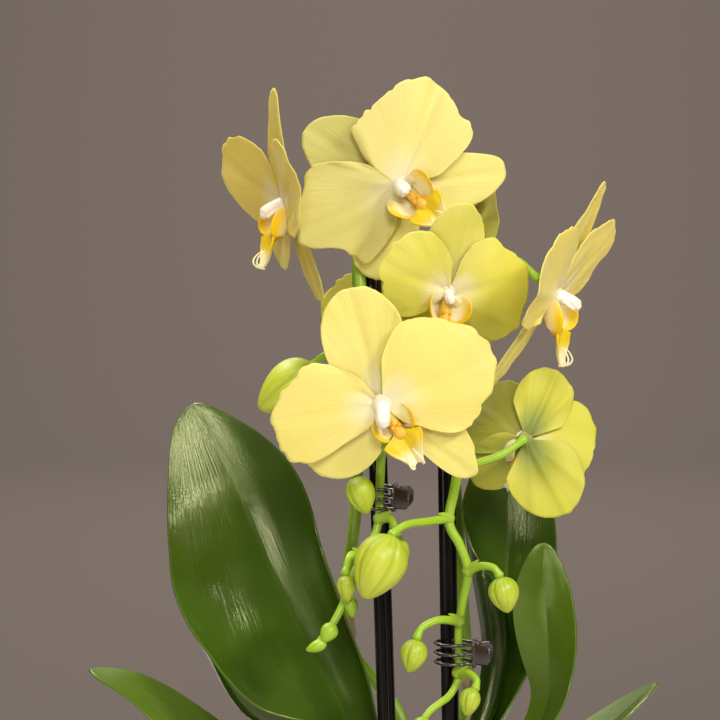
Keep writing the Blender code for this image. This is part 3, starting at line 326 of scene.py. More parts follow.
def studio():
    scene = bpy.context.scene
    lens = bpy.data.cameras.new("camera")
    lens.angle = math.radians(2 * HALF_VIEW)
    lens.clip_end = 30
    camera = add("camera", lens)
    pitch = math.radians(CAMERA_PITCH)
    back = Vector((0, -math.cos(pitch), math.sin(pitch)))
    camera.location = MM * (Vector(CAMERA_AIM) + CAMERA_DISTANCE * back)
    camera.rotation_euler = (math.pi / 2 - pitch, 0, 0)
    scene.camera = camera

    # The backdrop lies on the floor behind the plant, then sweeps up; (y, z) in metres
    far, rest, radius, foot = 6.0, 0.0008, 0.9, 2.3
    sweep = [(0.75, rest), (foot, rest)]
    sweep += [(foot + radius * math.sin(turn), radius - (radius - rest) * math.cos(turn))
              for turn in np.radians(np.arange(5, 91, 5))]
    sweep.append((foot + radius, 3.0))
    floor_tone, backdrop_tone = (0.52, 0.50, 0.47), (0.083, 0.067, 0.0575)
    sheets = {
        "floor": ([(-far, -far, 0), (far, -far, 0), (far, far, 0), (-far, far, 0)], [(0, 1, 2, 3)], floor_tone),
        "backdrop": ([(x, y, z) for y, z in sweep for x in (-far / 2, far / 2)],
                     [(2 * i, 2 * i + 1, 2 * i + 3, 2 * i + 2) for i in range(len(sweep) - 1)], backdrop_tone),
    }
    for name, (verts, faces, tone) in sheets.items():
        mesh = bpy.data.meshes.new(name)
        mesh.from_pydata(verts, [], faces)
        mesh.shade_smooth()
        mesh.materials.append(Paint(name, Base_Color=(*tone, 1), Roughness=0.95, Specular_IOR_Level=0.1).material)
        sheet = add(name, mesh)

    scene.view_settings.view_transform = "Standard"
    world = bpy.data.worlds.new("studio")
    scene.world = world
    world.use_nodes = True
    sky = world.node_tree.nodes["Background"].inputs
    sky["Color"].default_value = (0.80, 0.78, 0.76, 1)
    sky["Strength"].default_value = 0.15

    # Lamps: place in mm, power in W, width and height in m, tone and what each looks at
    plant, cove = (-10, -10, 330), (0, 3100, 500)
    warm, mild = (1, 0.98, 0.95), (1, 0.98, 0.96)
    for name, place, power, width, height, tone, target in (
            ("key", (120, -1130, 930), 11.5, 0.4, 0.4, warm, plant),
            ("side", (793, -699, 1080), 12.0, 0.34, 0.12, warm, plant),
            ("front", (-420, -1240, 255), 2.8, 0.12, 0.12, mild, plant),
            ("back", (-300, 800, 1000), 4, 0.7, 0.7, warm, plant),
            ("wall", (-500, 300, 1500), 25, 0.9, 0.9, mild, plant),
            ("cove", (0, 1500, 1900), 100, 0.9, 0.9, mild, cove)):
        lamp = bpy.data.lights.new(name, "AREA")
        lamp.energy, lamp.color = power, tone
        lamp.shape, lamp.size, lamp.size_y = "RECTANGLE", width, height
        light = add(name, lamp)
        light.location = MM * Vector(place)
        light.rotation_euler = (Vector(target) - Vector(place)).to_track_quat("-Z", "Y").to_euler()


# ---- numbers and curves

def unit(vector):
    vector = np.asarray(vector, float)
    return vector / np.linalg.norm(vector, axis=-1, keepdims=True)


def smooth_route(points, count):
    """count + 1 points along a Catmull-Rom curve through points, spread evenly."""
    points = np.asarray(points, float)
    chord = np.r_[0, np.cumsum(np.linalg.norm(np.diff(points, axis=0), axis=1))]
    ends = np.vstack([2 * points[0] - points[1], points, 2 * points[-1] - points[-2]])
    spots = []
    for along in np.linspace(0, chord[-1], count + 1):
        index = min(int(np.searchsorted(chord, along, side="right")) - 1, len(points) - 2)
        u = (along - chord[index]) / (chord[index + 1] - chord[index])
        a, b, c, d = ends[index:index + 4]
        spots.append(b + 0.5 * u * ((c - a) + u * (2 * a - 5 * b + 4 * c - d + u * (3 * b - a - 3 * c + d))))
    return np.array(spots)


def along_knots(knots, t, column=1):
    """The value at t of a curve through (t, value) knots, eased between them."""
    places = np.array([knot[0] for knot in knots], float)
    values = np.array([knot[column] for knot in knots], float)
    index = np.clip(np.searchsorted(places, t, side="right") - 1, 0, len(places) - 2)
    step = places[index + 1] - places[index]
    u = np.clip((t - places[index]) / step, 0, 1)
    slopes = np.gradient(values, places)
    return (values[index] * (2 * u**3 - 3 * u**2 + 1) + step * slopes[index] * (u**3 - 2 * u**2 + u)
            + values[index + 1] * (3 * u**2 - 2 * u**3) + step * slopes[index + 1] * (u**3 - u**2))


def stretched(values, count):
    """count values on straight lines between the given ones, spread evenly."""
    return np.interp(np.linspace(0, 1, count), np.linspace(0, 1, len(values)), values)


def rough_line(t, count, seed):
    """A smooth random line over t from 0 to 1 with count swings, from -1 to 1."""
    knots = np.random.default_rng(seed).uniform(-1, 1, count + 3)
    place = np.clip(t, 0, 1) * count
    index = np.minimum(place.astype(int), count)
    u = place - index
    return knots[index] + (knots[index + 1] - knots[index]) * (3 * u**2 - 2 * u**3)


def whole_turn(count):
    return np.linspace(0, 2 * math.pi, count, endpoint=False)


def swung(first, second, degrees):
    """Two square directions, the first turned toward the second."""
    turn = math.radians(degrees)
    return math.cos(turn) * first + math.sin(turn) * second, math.cos(turn) * second - math.sin(turn) * first


def eased(low, high, value):
    """0 below low and 1 above high, with a smooth step between them."""
    u = np.clip((value - low) / (high - low), 0, 1)
    return u * u * (3 - 2 * u)


# ---- meshes from arrays

def grid_faces(rows, columns, start=0, flip=False, wrap=False):
    """Quads over a rows x columns grid of points; wrap joins the last column to the first."""
    r, c = np.meshgrid(np.arange(rows - 1), np.arange(columns if wrap else columns - 1), indexing="ij")
    r, c = r.ravel(), c.ravel()
    after = (c + 1) % columns
    quads = np.stack([r * columns + c, r * columns + after, (r + 1) * columns + after, (r + 1) * columns + c], 1)
    return start + (quads[:, ::-1] if flip else quads)


def slab(points, thickness, **marks):
    """A closed blade over a grid of points. marks are values at each of its points."""
    rows, columns, _ = points.shape
    normal = unit(np.cross(np.gradient(points, axis=0), np.gradient(points, axis=1)) + 1e-12)
    half = np.broadcast_to(np.asarray(thickness, float) / 2, (rows, columns))[..., None]
    verts = np.concatenate([(points + normal * half).reshape(-1, 3), (points - normal * half).reshape(-1, 3)])
    count = rows * columns
    grid = np.arange(count).reshape(rows, columns)
    edge = np.concatenate([grid[0, :-1], grid[:-1, -1], grid[-1, :0:-1], grid[:0:-1, 0]])
    after = np.roll(edge, -1)
    rim = np.stack([edge, after, after + count, edge + count], 1)
    faces = np.concatenate([grid_faces(rows, columns), grid_faces(rows, columns, count, True), rim[:, ::-1]])
    values = {name: np.tile(np.broadcast_to(value, (rows, columns)).ravel(), 2) for name, value in marks.items()}
    values["back"] = np.repeat([0.0, 1.0], count)
    return verts, faces, values


def ring_shell(rings, **marks):
    """A closed shell over rings of points, with a fan at each end."""
    rows, columns, _ = rings.shape
    verts = np.concatenate([rings.reshape(-1, 3), rings[:1].mean(axis=1), rings[-1:].mean(axis=1)])
    first = rows * columns
    last = first + 1
    turn = np.arange(columns)
    after = (turn + 1) % columns
    low = np.stack([turn, np.full(columns, first), after, after], 1)
    high = (rows - 1) * columns
    top = np.stack([high + after, np.full(columns, last), high + turn, high + turn], 1)
    faces = np.concatenate([grid_faces(rows, columns, 0, True, True), low[:, ::-1], top[:, ::-1]])
    values = {}
    for name, value in marks.items():
        spread = np.broadcast_to(value, (rows, columns))
        values[name] = np.concatenate([spread.ravel(), [spread[0].mean(), spread[-1].mean()]])
    return verts, faces, values


def frames_along(route):
    """Tangent and two square directions at each point of a route, without twist."""
    tangents = unit(np.gradient(route, axis=0))
    side = unit(np.cross(tangents[0], (0.31, 0.42, 0.85)))
    sides = []
    for tangent in tangents:
        side = unit(side - (side @ tangent) * tangent)
        sides.append(side)
    sides = np.array(sides)
    return tangents, sides, np.cross(tangents, sides)


def rod(route, radii, sides=16, rounding=0.8, **marks):
    """A round bar along a route with rounded ends."""
    route = np.asarray(route, float)
    count = len(route)
    tangents, sides_a, sides_b = frames_along(route)
    turns = whole_turn(sides)
    # Three more rings at each end close it: they rise by these angles round the end
    lifts = np.radians(np.r_[-80, -55, -28, np.zeros(count), 28, 55, 80])
    index = np.clip(np.arange(count + 6) - 3, 0, count - 1)
    radii = np.broadcast_to(radii, count)[index]
    centres = route[index] + (rounding * radii * np.sin(lifts))[:, None] * tangents[index]
    spokes = np.cos(turns)[:, None] * sides_a[index][:, None] + np.sin(turns)[:, None] * sides_b[index][:, None]
    rings = centres[:, None] + (radii * np.cos(lifts))[:, None, None] * spokes
    along, across = index[:, None] / (count - 1), turns[None, :] / (2 * math.pi)
    return ring_shell(rings, **{"along": along, "across": across, **marks})


def egg(centre, axis, length, width, rows, columns, seams=0, seam_depth=0.06, spin=0.0, **marks):
    """An egg with its narrow end along axis, and grooves down its seams."""
    axis = unit(axis)
    side = unit(np.cross(axis, (0.12, 0.93, 0.35)))
    other = np.cross(axis, side)
    height = -np.cos(np.linspace(0.05, math.pi - 0.05, rows))[:, None]
    turn = (whole_turn(columns) + spin)[None, :]
    swell = np.sqrt(1 - height**2) * (1 - 0.28 * height - 0.12 * height**2)
    groove = np.zeros_like(turn * height)
    if seams:
        groove = np.exp(-(np.sin(turn * seams / 2) / 0.16)**2) * (1 - 0.5 * height**2)
    radius = width / 2 * swell * (1 - seam_depth * groove)
    rings = (np.asarray(centre, float) + (height * length / 2 * np.ones_like(turn))[..., None] * axis
             + (radius * np.cos(turn))[..., None] * side + (radius * np.sin(turn))[..., None] * other)
    return ring_shell(rings, **{"along": 0.5 + 0.5 * height, "across": turn / (2 * math.pi), "groove": groove, **marks})


def piece(name, shapes, paint, stands_for, body="root", smooth=True):
    """One object from shapes of (points, faces, marks), dressed, riding on body in place of CAD nodes."""
    starts = np.cumsum([0] + [len(points) for points, _, _ in shapes])
    verts = np.concatenate([points for points, _, _ in shapes])
    faces = np.concatenate([quads + start for (_, quads, _), start in zip(shapes, starts)])
    mesh = bpy.data.meshes.new(name)
    mesh.from_pydata((MM * verts).tolist(), [], [list(dict.fromkeys(face)) for face in faces.tolist()])
    for key in sorted({key for _, _, marks in shapes for key in marks}):
        values = np.concatenate([np.broadcast_to(marks.get(key, 0.0), len(points)) for points, _, marks in shapes])
        layer = mesh.attributes.new(key, "FLOAT", "POINT")
        layer.data.foreach_set("value", values.astype(np.float32))
    if smooth:
        mesh.shade_smooth()
    mesh.materials.append(paint)
    obj = add(name, mesh)
    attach(obj, body)
    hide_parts(*stands_for)


# ---- materials

class Paint:
    """A Principled material and the nodes that feed it."""

    def __init__(self, name, **sockets):
        self.material = bpy.data.materials.new(name)
        self.material.use_nodes = True
        self.tree = self.material.node_tree
        self.shader = self.tree.nodes["Principled BSDF"]
        for socket, value in sockets.items():
            self.shader.inputs[socket.replace("_", " ")].default_value = value

    def node(self, kind, **settings):
        made = self.tree.nodes.new(kind)
        for key, value in settings.items():
            setattr(made, key, value)
        return made

    def feed(self, source, target):
        if isinstance(source, (int, float, tuple)):
            target.default_value = source
        else:
            self.tree.links.new(source, target)

    def marks(self, *names):
        return [self.node("ShaderNodeAttribute", attribute_name=name).outputs["Fac"] for name in names]

    def math(self, operation, *values):
        made = self.node("ShaderNodeMath", operation=operation)
        for value, socket in zip(values, made.inputs):
            self.feed(value, socket)
        return made.outputs[0]

    def times(self, first, second):
        return self.math("MULTIPLY", first, second)

    def ramp(self, value, low, high, start=0.0, end=1.0):
        made = self.node("ShaderNodeMapRange", interpolation_type="SMOOTHSTEP")
        sockets = ("Value", "From Min", "From Max", "To Min", "To Max")
        for socket, number in zip(sockets, (value, low, high, start, end)):
            self.feed(number, made.inputs[socket])
        return made.outputs["Result"]

    def layers(self, color, *over):
        """The color under layers of (how much, which color)."""
        for share, tone in over:
            made = self.node("ShaderNodeMix", data_type="RGBA")
            self.feed(share, made.inputs[0])
            for value, socket in ((color, made.inputs[6]), (tone, made.inputs[7])):
                self.feed((*value, 1) if isinstance(value, tuple) else value, socket)
            color = made.outputs[2]
        return color

    def place(self, x, y, z=0.0):
        made = self.node("ShaderNodeCombineXYZ")
        for value, socket in zip((x, y, z), made.inputs):
            self.feed(value, socket)
        return made.outputs[0]

    def noise(self, where=None, scale=5.0, detail=3.0, rough=0.5):
        made = self.node("ShaderNodeTexNoise")
        for socket, number in (("Scale", scale), ("Detail", detail), ("Roughness", rough)):
            made.inputs[socket].default_value = number
        self.feed(where or self.node("ShaderNodeTexCoord").outputs["Object"], made.inputs["Vector"])
        return made.outputs["Fac"]

    def finish(self, color, height, strength, distance, rough=None):
        """The material, with its color, its bumps and, where given, its roughness."""
        made = self.node("ShaderNodeBump")
        for socket, value in (("Strength", strength), ("Distance", distance), ("Height", height)):
            self.feed(value, made.inputs[socket])
        self.feed(made.outputs["Normal"], self.shader.inputs["Normal"])
        self.feed(color, self.shader.inputs["Base Color"])
        if rough is not None:
            self.feed(rough, self.shader.inputs["Roughness"])
        return self.material

    def glow_through(self, share, color):
        """Lets light through a thin petal or lip."""
        through = self.node("ShaderNodeBsdfTranslucent")
        self.feed(color, through.inputs["Color"])
        both = self.node("ShaderNodeMixShader")
        both.inputs[0].default_value = share
        self.feed(self.shader.outputs[0], both.inputs[1])
        self.feed(through.outputs[0], both.inputs[2])
        self.feed(both.outputs[0], self.tree.nodes["Material Output"].inputs["Surface"])


def flesh(name, roughness, shine, depth, reds=(1.0, 0.2, 0.1), share=0.2, **more):
    """A paint for soft plant flesh, which light enters to a depth in metres."""
    return Paint(name, Roughness=roughness, Specular_IOR_Level=shine, Subsurface_Weight=share,
                 Subsurface_Radius=reds, Subsurface_Scale=depth, **more)


def tepal_paint(name, seed, green, deep, pale):
    """Primrose petals: white at the heart, fine veins in a fan, greener where green is high, darker where painted shade
    falls.
    """
    paint = flesh(name, 0.55, 0.3, 0.0015, (1.0, 0.8, 0.25), Sheen_Weight=0.08, Sheen_Roughness=0.5)
    along, across, sepal, back, shade = paint.marks("along", "across", "sepal", "back", "shade")
    patch = paint.ramp(paint.noise(scale=38.0, detail=2.0), 0.35, 0.75, 0.0, 0.30)
    heart = paint.ramp(along, 0.08, 0.46, 0.8, 0.0)
    flush = paint.times(paint.times(back, sepal), paint.ramp(along, 0.05, 0.8, 0.9, 0.0))
    fan = paint.place(paint.times(across, 16.0), paint.times(along, 1.4), seed)
    veins = paint.ramp(paint.noise(fan, 1.6, 4.0, 0.6), 0.42, 0.58)
    # The last layer but one is painted shade: an olive tone laid over blades that face away from the light or lie
    # behind others.
    yellow = paint.layers(
        (0.85, 0.72, 0.17), (green, (0.60, 0.58, 0.045)), (deep, (0.70, 0.48, 0.05)), (pale, (0.84, 0.74, 0.36)),
        (paint.times(sepal, 0.18), (0.58, 0.55, 0.12)), (patch, (0.90, 0.78, 0.32)), (heart, (0.86, 0.77, 0.54)),
        (paint.times(back, 0.3), (0.52, 0.51, 0.02)), (flush, (0.13, 0.20, 0.002)), (shade, (0.26, 0.26, 0.015)),
        (paint.times(veins, 0.05), (0.55, 0.44, 0.03)))
    paint.glow_through(0.28, yellow)
    height = paint.math("ADD", paint.times(veins, 0.8), paint.times(paint.noise(scale=900.0, detail=2.0), 0.2))
    return paint.finish(yellow, height, 0.22, 0.0003)


def lip_paint():
    paint = flesh("lip", 0.42, 0.4, 0.001, (1.0, 0.6, 0.2))
    rim, white, spots = paint.marks("rim", "white", "spots")
    dots = paint.times(paint.ramp(paint.noise(scale=1500.0, detail=1.0), 0.60, 0.67), paint.ramp(spots, 0.2, 0.7))
    color = paint.layers((0.88, 0.68, 0.02), (white, (0.98, 0.91, 0.62)), (rim, (0.94, 0.69, 0.012)),
                         (paint.times(spots, 0.8), (0.90, 0.50, 0.02)), (dots, (0.72, 0.09, 0.005)))
    paint.glow_through(0.45, color)
    return paint.finish(color, paint.noise(scale=500.0), 0.25, 0.0003)


def column_paint():
    paint = flesh("column", 0.38, 0.45, 0.0015, (1.0, 0.6, 0.4), 0.3)
    cap, = paint.marks("cap")
    blush = paint.ramp(paint.noise(scale=250.0), 0.5, 0.7, 0.0, 0.25)
    color = paint.layers((0.84, 0.75, 0.60), (cap, (0.86, 0.68, 0.48)), (blush, (0.86, 0.60, 0.52)))
    return paint.finish(color, paint.noise(scale=600.0), 0.25, 0.0002)


def leaf_paint():
    paint = Paint("leaf", Specular_IOR_Level=0.6, Specular_Tint=(1, 0.98, 0.55, 1))
    along, across, tint, back = paint.marks("along", "across", "tint", "back")
    patch = paint.noise(paint.place(paint.times(along, 3.0), paint.times(across, 2.0)), 2.0)
    outward = paint.math("ABSOLUTE", across)
    color = paint.layers(
        (0.004, 0.016, 0.0002), (tint, (0.085, 0.125, 0.001)),
        (paint.ramp(patch, 0.3, 0.7, 0.0, 0.4), (0.014, 0.038, 0.0012)),
        (paint.ramp(outward, 0.0, 0.05, 0.25, 0.0), (0.07, 0.13, 0.01)),
        # Paler at the very margin: partly the thin edge's own colour, partly a painted highlight where the edge catches
        # the light.
        (paint.ramp(outward, 0.975, 1.0, 0.0, 0.4), (0.12, 0.18, 0.02)),
        (paint.times(back, 0.6), (0.06, 0.115, 0.008)))
    lines = paint.noise(paint.place(paint.times(across, 42.0), paint.times(along, 5.0)), 1.0, 4.0, 0.65)
    return paint.finish(color, lines, 0.3, 0.0005, paint.ramp(lines, 0.35, 0.7, 0.13, 0.22))


def stem_paint():
    paint = flesh("stem", 0.38, 0.45, 0.001, share=0.1)
    tint, dry = paint.marks("tint", "dry")
    brown = paint.layers((0.16, 0.10, 0.05), (paint.noise(scale=500.0), (0.34, 0.25, 0.14)))
    color = paint.layers((0.19, 0.32, 0.010), (tint, (0.27, 0.42, 0.014)),
                         (paint.ramp(paint.noise(scale=160.0), 0.4, 0.75, 0.0, 0.4), (0.30, 0.40, 0.03)), (dry, brown))
    return paint.finish(color, paint.noise(scale=420.0, detail=4.0), 0.3, 0.0003)


def bud_paint():
    paint = flesh("bud", 0.42, 0.4, 0.002, (0.8, 1.0, 0.2), 0.25)
    along, across, groove, tint = paint.marks("along", "across", "groove", "tint")
    lines = paint.noise(paint.place(paint.times(across, 26.0), paint.times(along, 1.5)), 1.5)
    color = paint.layers(
        (0.28, 0.38, 0.012), (tint, (0.46, 0.49, 0.028)), (paint.ramp(along, 0.0, 0.5, 0.5, 0.0), (0.19, 0.31, 0.010)),
        (paint.times(groove, 0.45), (0.20, 0.30, 0.008)), (paint.ramp(lines, 0.4, 0.7, 0.0, 0.25), (0.70, 0.70, 0.12)))
    return paint.finish(color, lines, 0.25, 0.0004)


def root_paint():
    paint = Paint("root", Roughness=0.75)
    color = paint.layers((0.34, 0.38, 0.24), (paint.noise(scale=120.0), (0.62, 0.63, 0.52)))
    return paint.finish(color, paint.noise(scale=500.0, detail=4.0), 0.5, 0.0006)


def bark_paint():
    paint = Paint("bark", Roughness=0.85)
    tint, = paint.marks("tint")
    stain = paint.ramp(paint.noise(scale=260.0, detail=5.0), 0.35, 0.7, 0.0, 0.6)
    color = paint.layers((0.05, 0.022, 0.010), (tint, (0.21, 0.105, 0.05)), (stain, (0.10, 0.05, 0.028)))
    return paint.finish(color, paint.noise(scale=420.0, detail=6.0, rough=0.65), 0.8, 0.0012)


def pot_paint():
    paint = Paint("pot", Specular_IOR_Level=0.5, Coat_Weight=0.4, Coat_Roughness=0.08)
    cloud = paint.ramp(paint.noise(scale=14.0, detail=4.0), 0.3, 0.7)
    speck = paint.noise(scale=60.0, detail=3.0)
    return paint.finish(paint.layers((0.80, 0.78, 0.72), (cloud, (0.86, 0.84, 0.79))), speck, 0.12, 0.0006,
                        paint.ramp(speck, 0.3, 0.7, 0.16, 0.3))


def gloss_paint(name, low, high, roughness, shine):
    paint = Paint(name, Roughness=roughness, Specular_IOR_Level=shine)
    return paint.finish(paint.layers(low, (paint.noise(scale=180.0), high)), paint.noise(scale=240.0), 0.12, 0.0003)


# ---- flowers

def bloom_axes(bloom):
    """(right, up, face) of a bloom, seen from its front."""
    face = unit(bloom["face"])
    up = unit(np.array([0, 0, 1]) - face[2] * face)
    return *swung(np.cross(up, face), up, bloom["roll"]), face


def petal_grid(origin, out, face, shape, rows, columns, seed, thickness=0.8, **marks):
    """A blade that fans out from origin, with a notched and waved edge. marks are values, or functions of how far it
    reaches and where it is between its side edges."""
    side = np.cross(face, out)
    length, width, edge, ruffle = (shape[key] for key in ("length", "width", "notch", "ruffle"))

    # The blade's outline, as far as it reaches from its foot (0) to its tip (1)
    u = np.linspace(0, 1, rows)[:, None]**0.85
    v = np.linspace(-1, 1, columns)[None, :]
    line = 0.5 + 0.5 * v
    reach = 0.03 + 0.97 * u
    spot = v * max(1.0, shape["fan"] / PLAIN_FAN)
    outline = along_knots(shape["edge"], spot) - 1 if "edge" in shape else 0 * v
    notch = edge * (rough_line(line, 13, seed) + 0.6 * rough_line(line, 34, seed + 1))
    notch = notch - 2.2 * edge * np.maximum(rough_line(line, 27, seed + 9) - 0.55, 0)
    reach = reach * (1 + outline * reach**1.5 + notch * reach**5)
    turn = np.radians(shape["fan"]) * v
    along = reach * length * (0.5 + 0.5 * np.cos(turn))**shape["bulge"]
    across = reach * width / 2 * np.sin(turn)

    # It bends as it goes out, and its edges cup
    bend = math.radians(shape["bend"]) or 1e-6
    start = math.radians(shape["lift"])
    slope = start + bend * along / length
    ahead = length / bend * (np.sin(slope) - math.sin(start))
    rise = length / bend * (math.cos(start) - np.cos(slope))
    curl = math.radians(shape["cup"]) / (width / 2) or 1e-9
    sideways = np.sin(curl * across) / curl
    proud = (1 - np.cos(curl * across)) / curl

    # Waves, folds, the turned margin, ruffles and the midrib's dent
    proud += shape["wave"] * reach**2 * np.sin(math.pi * shape["ruffles"] * v + shape["phase"])
    for centre, height, spread in shape.get("folds", ()):
        proud += height * reach**1.5 * np.exp(-((spot - centre) / spread)**2)
    if "rim" in shape:
        proud += along_knots(shape["rim"], spot) * eased(0.5, 1.05, reach)**1.5
    proud += ruffle * reach**4 * (rough_line(line, 7, seed + 2) + 0.4 * rough_line(line, 19, seed + 3))
    proud += 0.5 * ruffle * rough_line(reach, 4, seed + 4) * rough_line(line, 5, seed + 5)
    proud -= shape["dent"] * np.exp(-(across / (0.06 * width))**2) * (1 - 0.6 * reach)
    place = (origin + (ahead - proud * np.sin(slope))[..., None] * out + sideways[..., None] * side
             + (rise + proud * np.cos(slope))[..., None] * face)
    marks = {key: value(reach, v) if callable(value) else value for key, value in marks.items()}
    return slab(place, thickness * (1 - 0.6 * np.clip(reach, 0, 1)**3), along=reach, across=v, **marks)


def tepals(name, bloom, paint):
    right, up, face = bloom_axes(bloom)
    hub = np.array(bloom["hub"], float)
    size = bloom["size"]
    # The hub behind the face, and a low boss in front of it
    shapes = [egg(hub - 2.0 * size * face, -face, 5.0 * size, 7.5 * size, 12, 24, along=0.16, sepal=1.0, back=0.8),
              egg(hub + 1.4 * size * face, face, 2.8 * size, 9.0 * size, 12, 24, along=0.0)]
    for index, (part, angle) in enumerate(TEPAL_ANGLES.items()):
        is_petal = part.startswith("petal")
        shape = {**(PETAL if is_petal else SEPAL), "angle": angle, "phase": 1.3 * index, **bloom[part]}
        shape["length"] *= size
        shape["width"] *= size
        out, _ = swung(right, up, shape["angle"])
        start = hub + size * (1.5 if is_petal else -1.3) * face
        seed = 31 * int(name[-1]) + 7 * index
        shapes.append(petal_grid(start, out, face, shape, TEPAL_ROWS, TEPAL_COLUMNS, seed, sepal=shape["sepal"],
                                 shade=shape["shade"]))
    piece(f"{name}_petals", shapes, paint, [f"{name}_tepals"])


def bloom_places(bloom, nod=8, turn=0, scale=1.0, **_):
    """place, route and toward, which take (across, high, ahead) in a bloom's frame, turned and then nodded down."""
    right, up, face = bloom_axes(bloom)
    right, up = swung(right, up, turn)
    low_up, low_face = swung(up, face, nod)
    hub = np.array(bloom["hub"], float)
    size = bloom["size"] * scale

    def place(across, high, ahead):
        return hub + size * (across * right + high * low_up + ahead * low_face)

    def route(stops, count, hand=1):
        return smooth_route([place(hand * across, high, ahead) for across, high, ahead in stops], count)

    def toward(across, high, ahead):
        return unit(across * right + high * low_up + ahead * low_face)

    return place, route, toward, size


def column(name, bloom, paint):
    place, route, toward, size = bloom_places(bloom, **bloom.get("column", {}))
    # The column, its cap and its two wings
    stops = [(0, 0.3, 2.2), (0, 0.4, 3.8), (0, 0.5, 5.4), (0, 0.3, 7.4), (0, -0.3, 9.2), (0, -0.9, 10.2)]
    shapes = [rod(route(stops, 20), size * stretched([3.3, 3.0, 2.6, 2.5, 2.6, 2.2], 21), 24, 0.9, cap=0.0),
              egg(place(0, -0.7, 9.7), toward(0, -0.75, 0.66), 5.4 * size, 5.3 * size, 16, 24, 2, 0.07, 0.8, cap=1.0)]
    for hand in (-1, 1):
        wing = route([(1.3, 0.3, 2.0), (1.9, -0.9, 6.5), (1.6, -2.0, 9.6)], 10, hand)
        shapes.append(rod(wing, size * np.linspace(1.4, 1.0, 11), 12, cap=0.1))
    piece(f"{name}_column_fine", shapes, paint, [f"{name}_column"])


def lip(name, bloom, paint):
    place, route, toward, size = bloom_places(bloom, **bloom.get("lip", {}))
    ear = size * bloom.get("lip", {}).get("ear", 1.0)
    claw = route([(0, -3.2, 2.6), (0, -6.0, 4.0), (0, -9.2, 6.2), (0, -11.2, 8.4)], 12)
    shapes = [rod(claw, np.linspace(1.6, 2.8, 13) * size, 16, white=0.2, spots=0.45)]

    # Middle lobe: an arrowhead, folded along its middle, that ends in two teeth
    t = np.linspace(0, 1, 34)
    line = smooth_route([(-9.0, 6.0), (-12.0, 9.0), (-15.2, 11.4), (-18.6, 13.8), (-21.4, 16.6), (-22.6, 18.6)], 33)
    half = along_knots([(0, 1.5), (0.16, 3.2), (0.36, 8.6), (0.44, 8.2), (0.68, 5.0), (0.88, 3.0), (1, 2.5)], t)
    t, half = t[:, None], half[:, None]
    s = np.linspace(-1, 1, 31)[None, :]
    forward = unit(np.gradient(line, axis=0))
    normal = np.stack([forward[:, 1], -forward[:, 0]], 1)
    fold = 0.55 * half * np.abs(s)**1.2 - 1.6 * eased(0.5, 1.0, np.abs(s)) * np.exp(-((t - 0.4) / 0.2)**2)
    sweep = -1.6 * np.abs(s)**2 * np.exp(-((t - 0.4) / 0.16)**2) - 2.4 * eased(0.84, 1.0, t) * (1 - np.abs(s))**1.2
    high, ahead = (line[:, k:k + 1] + fold * normal[:, k:k + 1] + sweep * forward[:, k:k + 1] for k in (0, 1))
    across = half * s
    grid = np.array([[place(*spot) for spot in zip(*rows)] for rows in zip(across, high, ahead)])
    shapes.append(slab(grid, 0.9 * size, white=eased(0.45, 0.8, t), spots=0.75 * (1 - eased(0.0, 0.22, t)), rim=0.0))

    # Side lobes, the callus between them and the tendrils at the tip
    lobe = dict(length=15.0 * ear, width=15.5 * ear, fan=116, bulge=0.85, lift=-28, bend=66, cup=36, wave=0, ruffles=1,
                phase=0, dent=0.0, notch=0.008, ruffle=0.1)
    for hand in (-1, 1):
        out = toward(0.66 * hand, 0.70, 0.24)
        inward = toward(-0.9 * hand, 0.1, 0.36)
        inward = unit(inward - (inward @ out) * out)
        shapes.append(petal_grid(
            place(1.6 * hand, -11.2, 3.8), out, inward, lobe, 18, 36, 8 + hand, 0.75, white=0.9,
            rim=lambda reach, v, hand=hand: eased(0.45, 0.85, reach) * eased(-0.7, 0.3, -hand * v),
            spots=lambda reach, v: 0.7 * eased(0.3, 0.1, reach)))
        shapes.append(egg(place(1.25 * hand, -8.0, 7.0), toward(0.25 * hand, 0.7, 0.66), 3.6 * size, 2.7 * size, 14, 18,
                          spots=1.0))
        stops = [(2.0, -22.3, 18.2), (2.6, -20.6, 20.3), (2.8, -18.2, 20.4), (2.2, -16.4, 18.2), (1.5, -15.4, 15.4)]
        shapes.append(rod(route(stops, 22, hand), np.linspace(0.55, 0.18, 23) * size, 10, white=1.0))
    piece(f"{name}_lip_fine", shapes, paint, [f"{name}_lip"])


# ---- stems, buds, leaves and roots

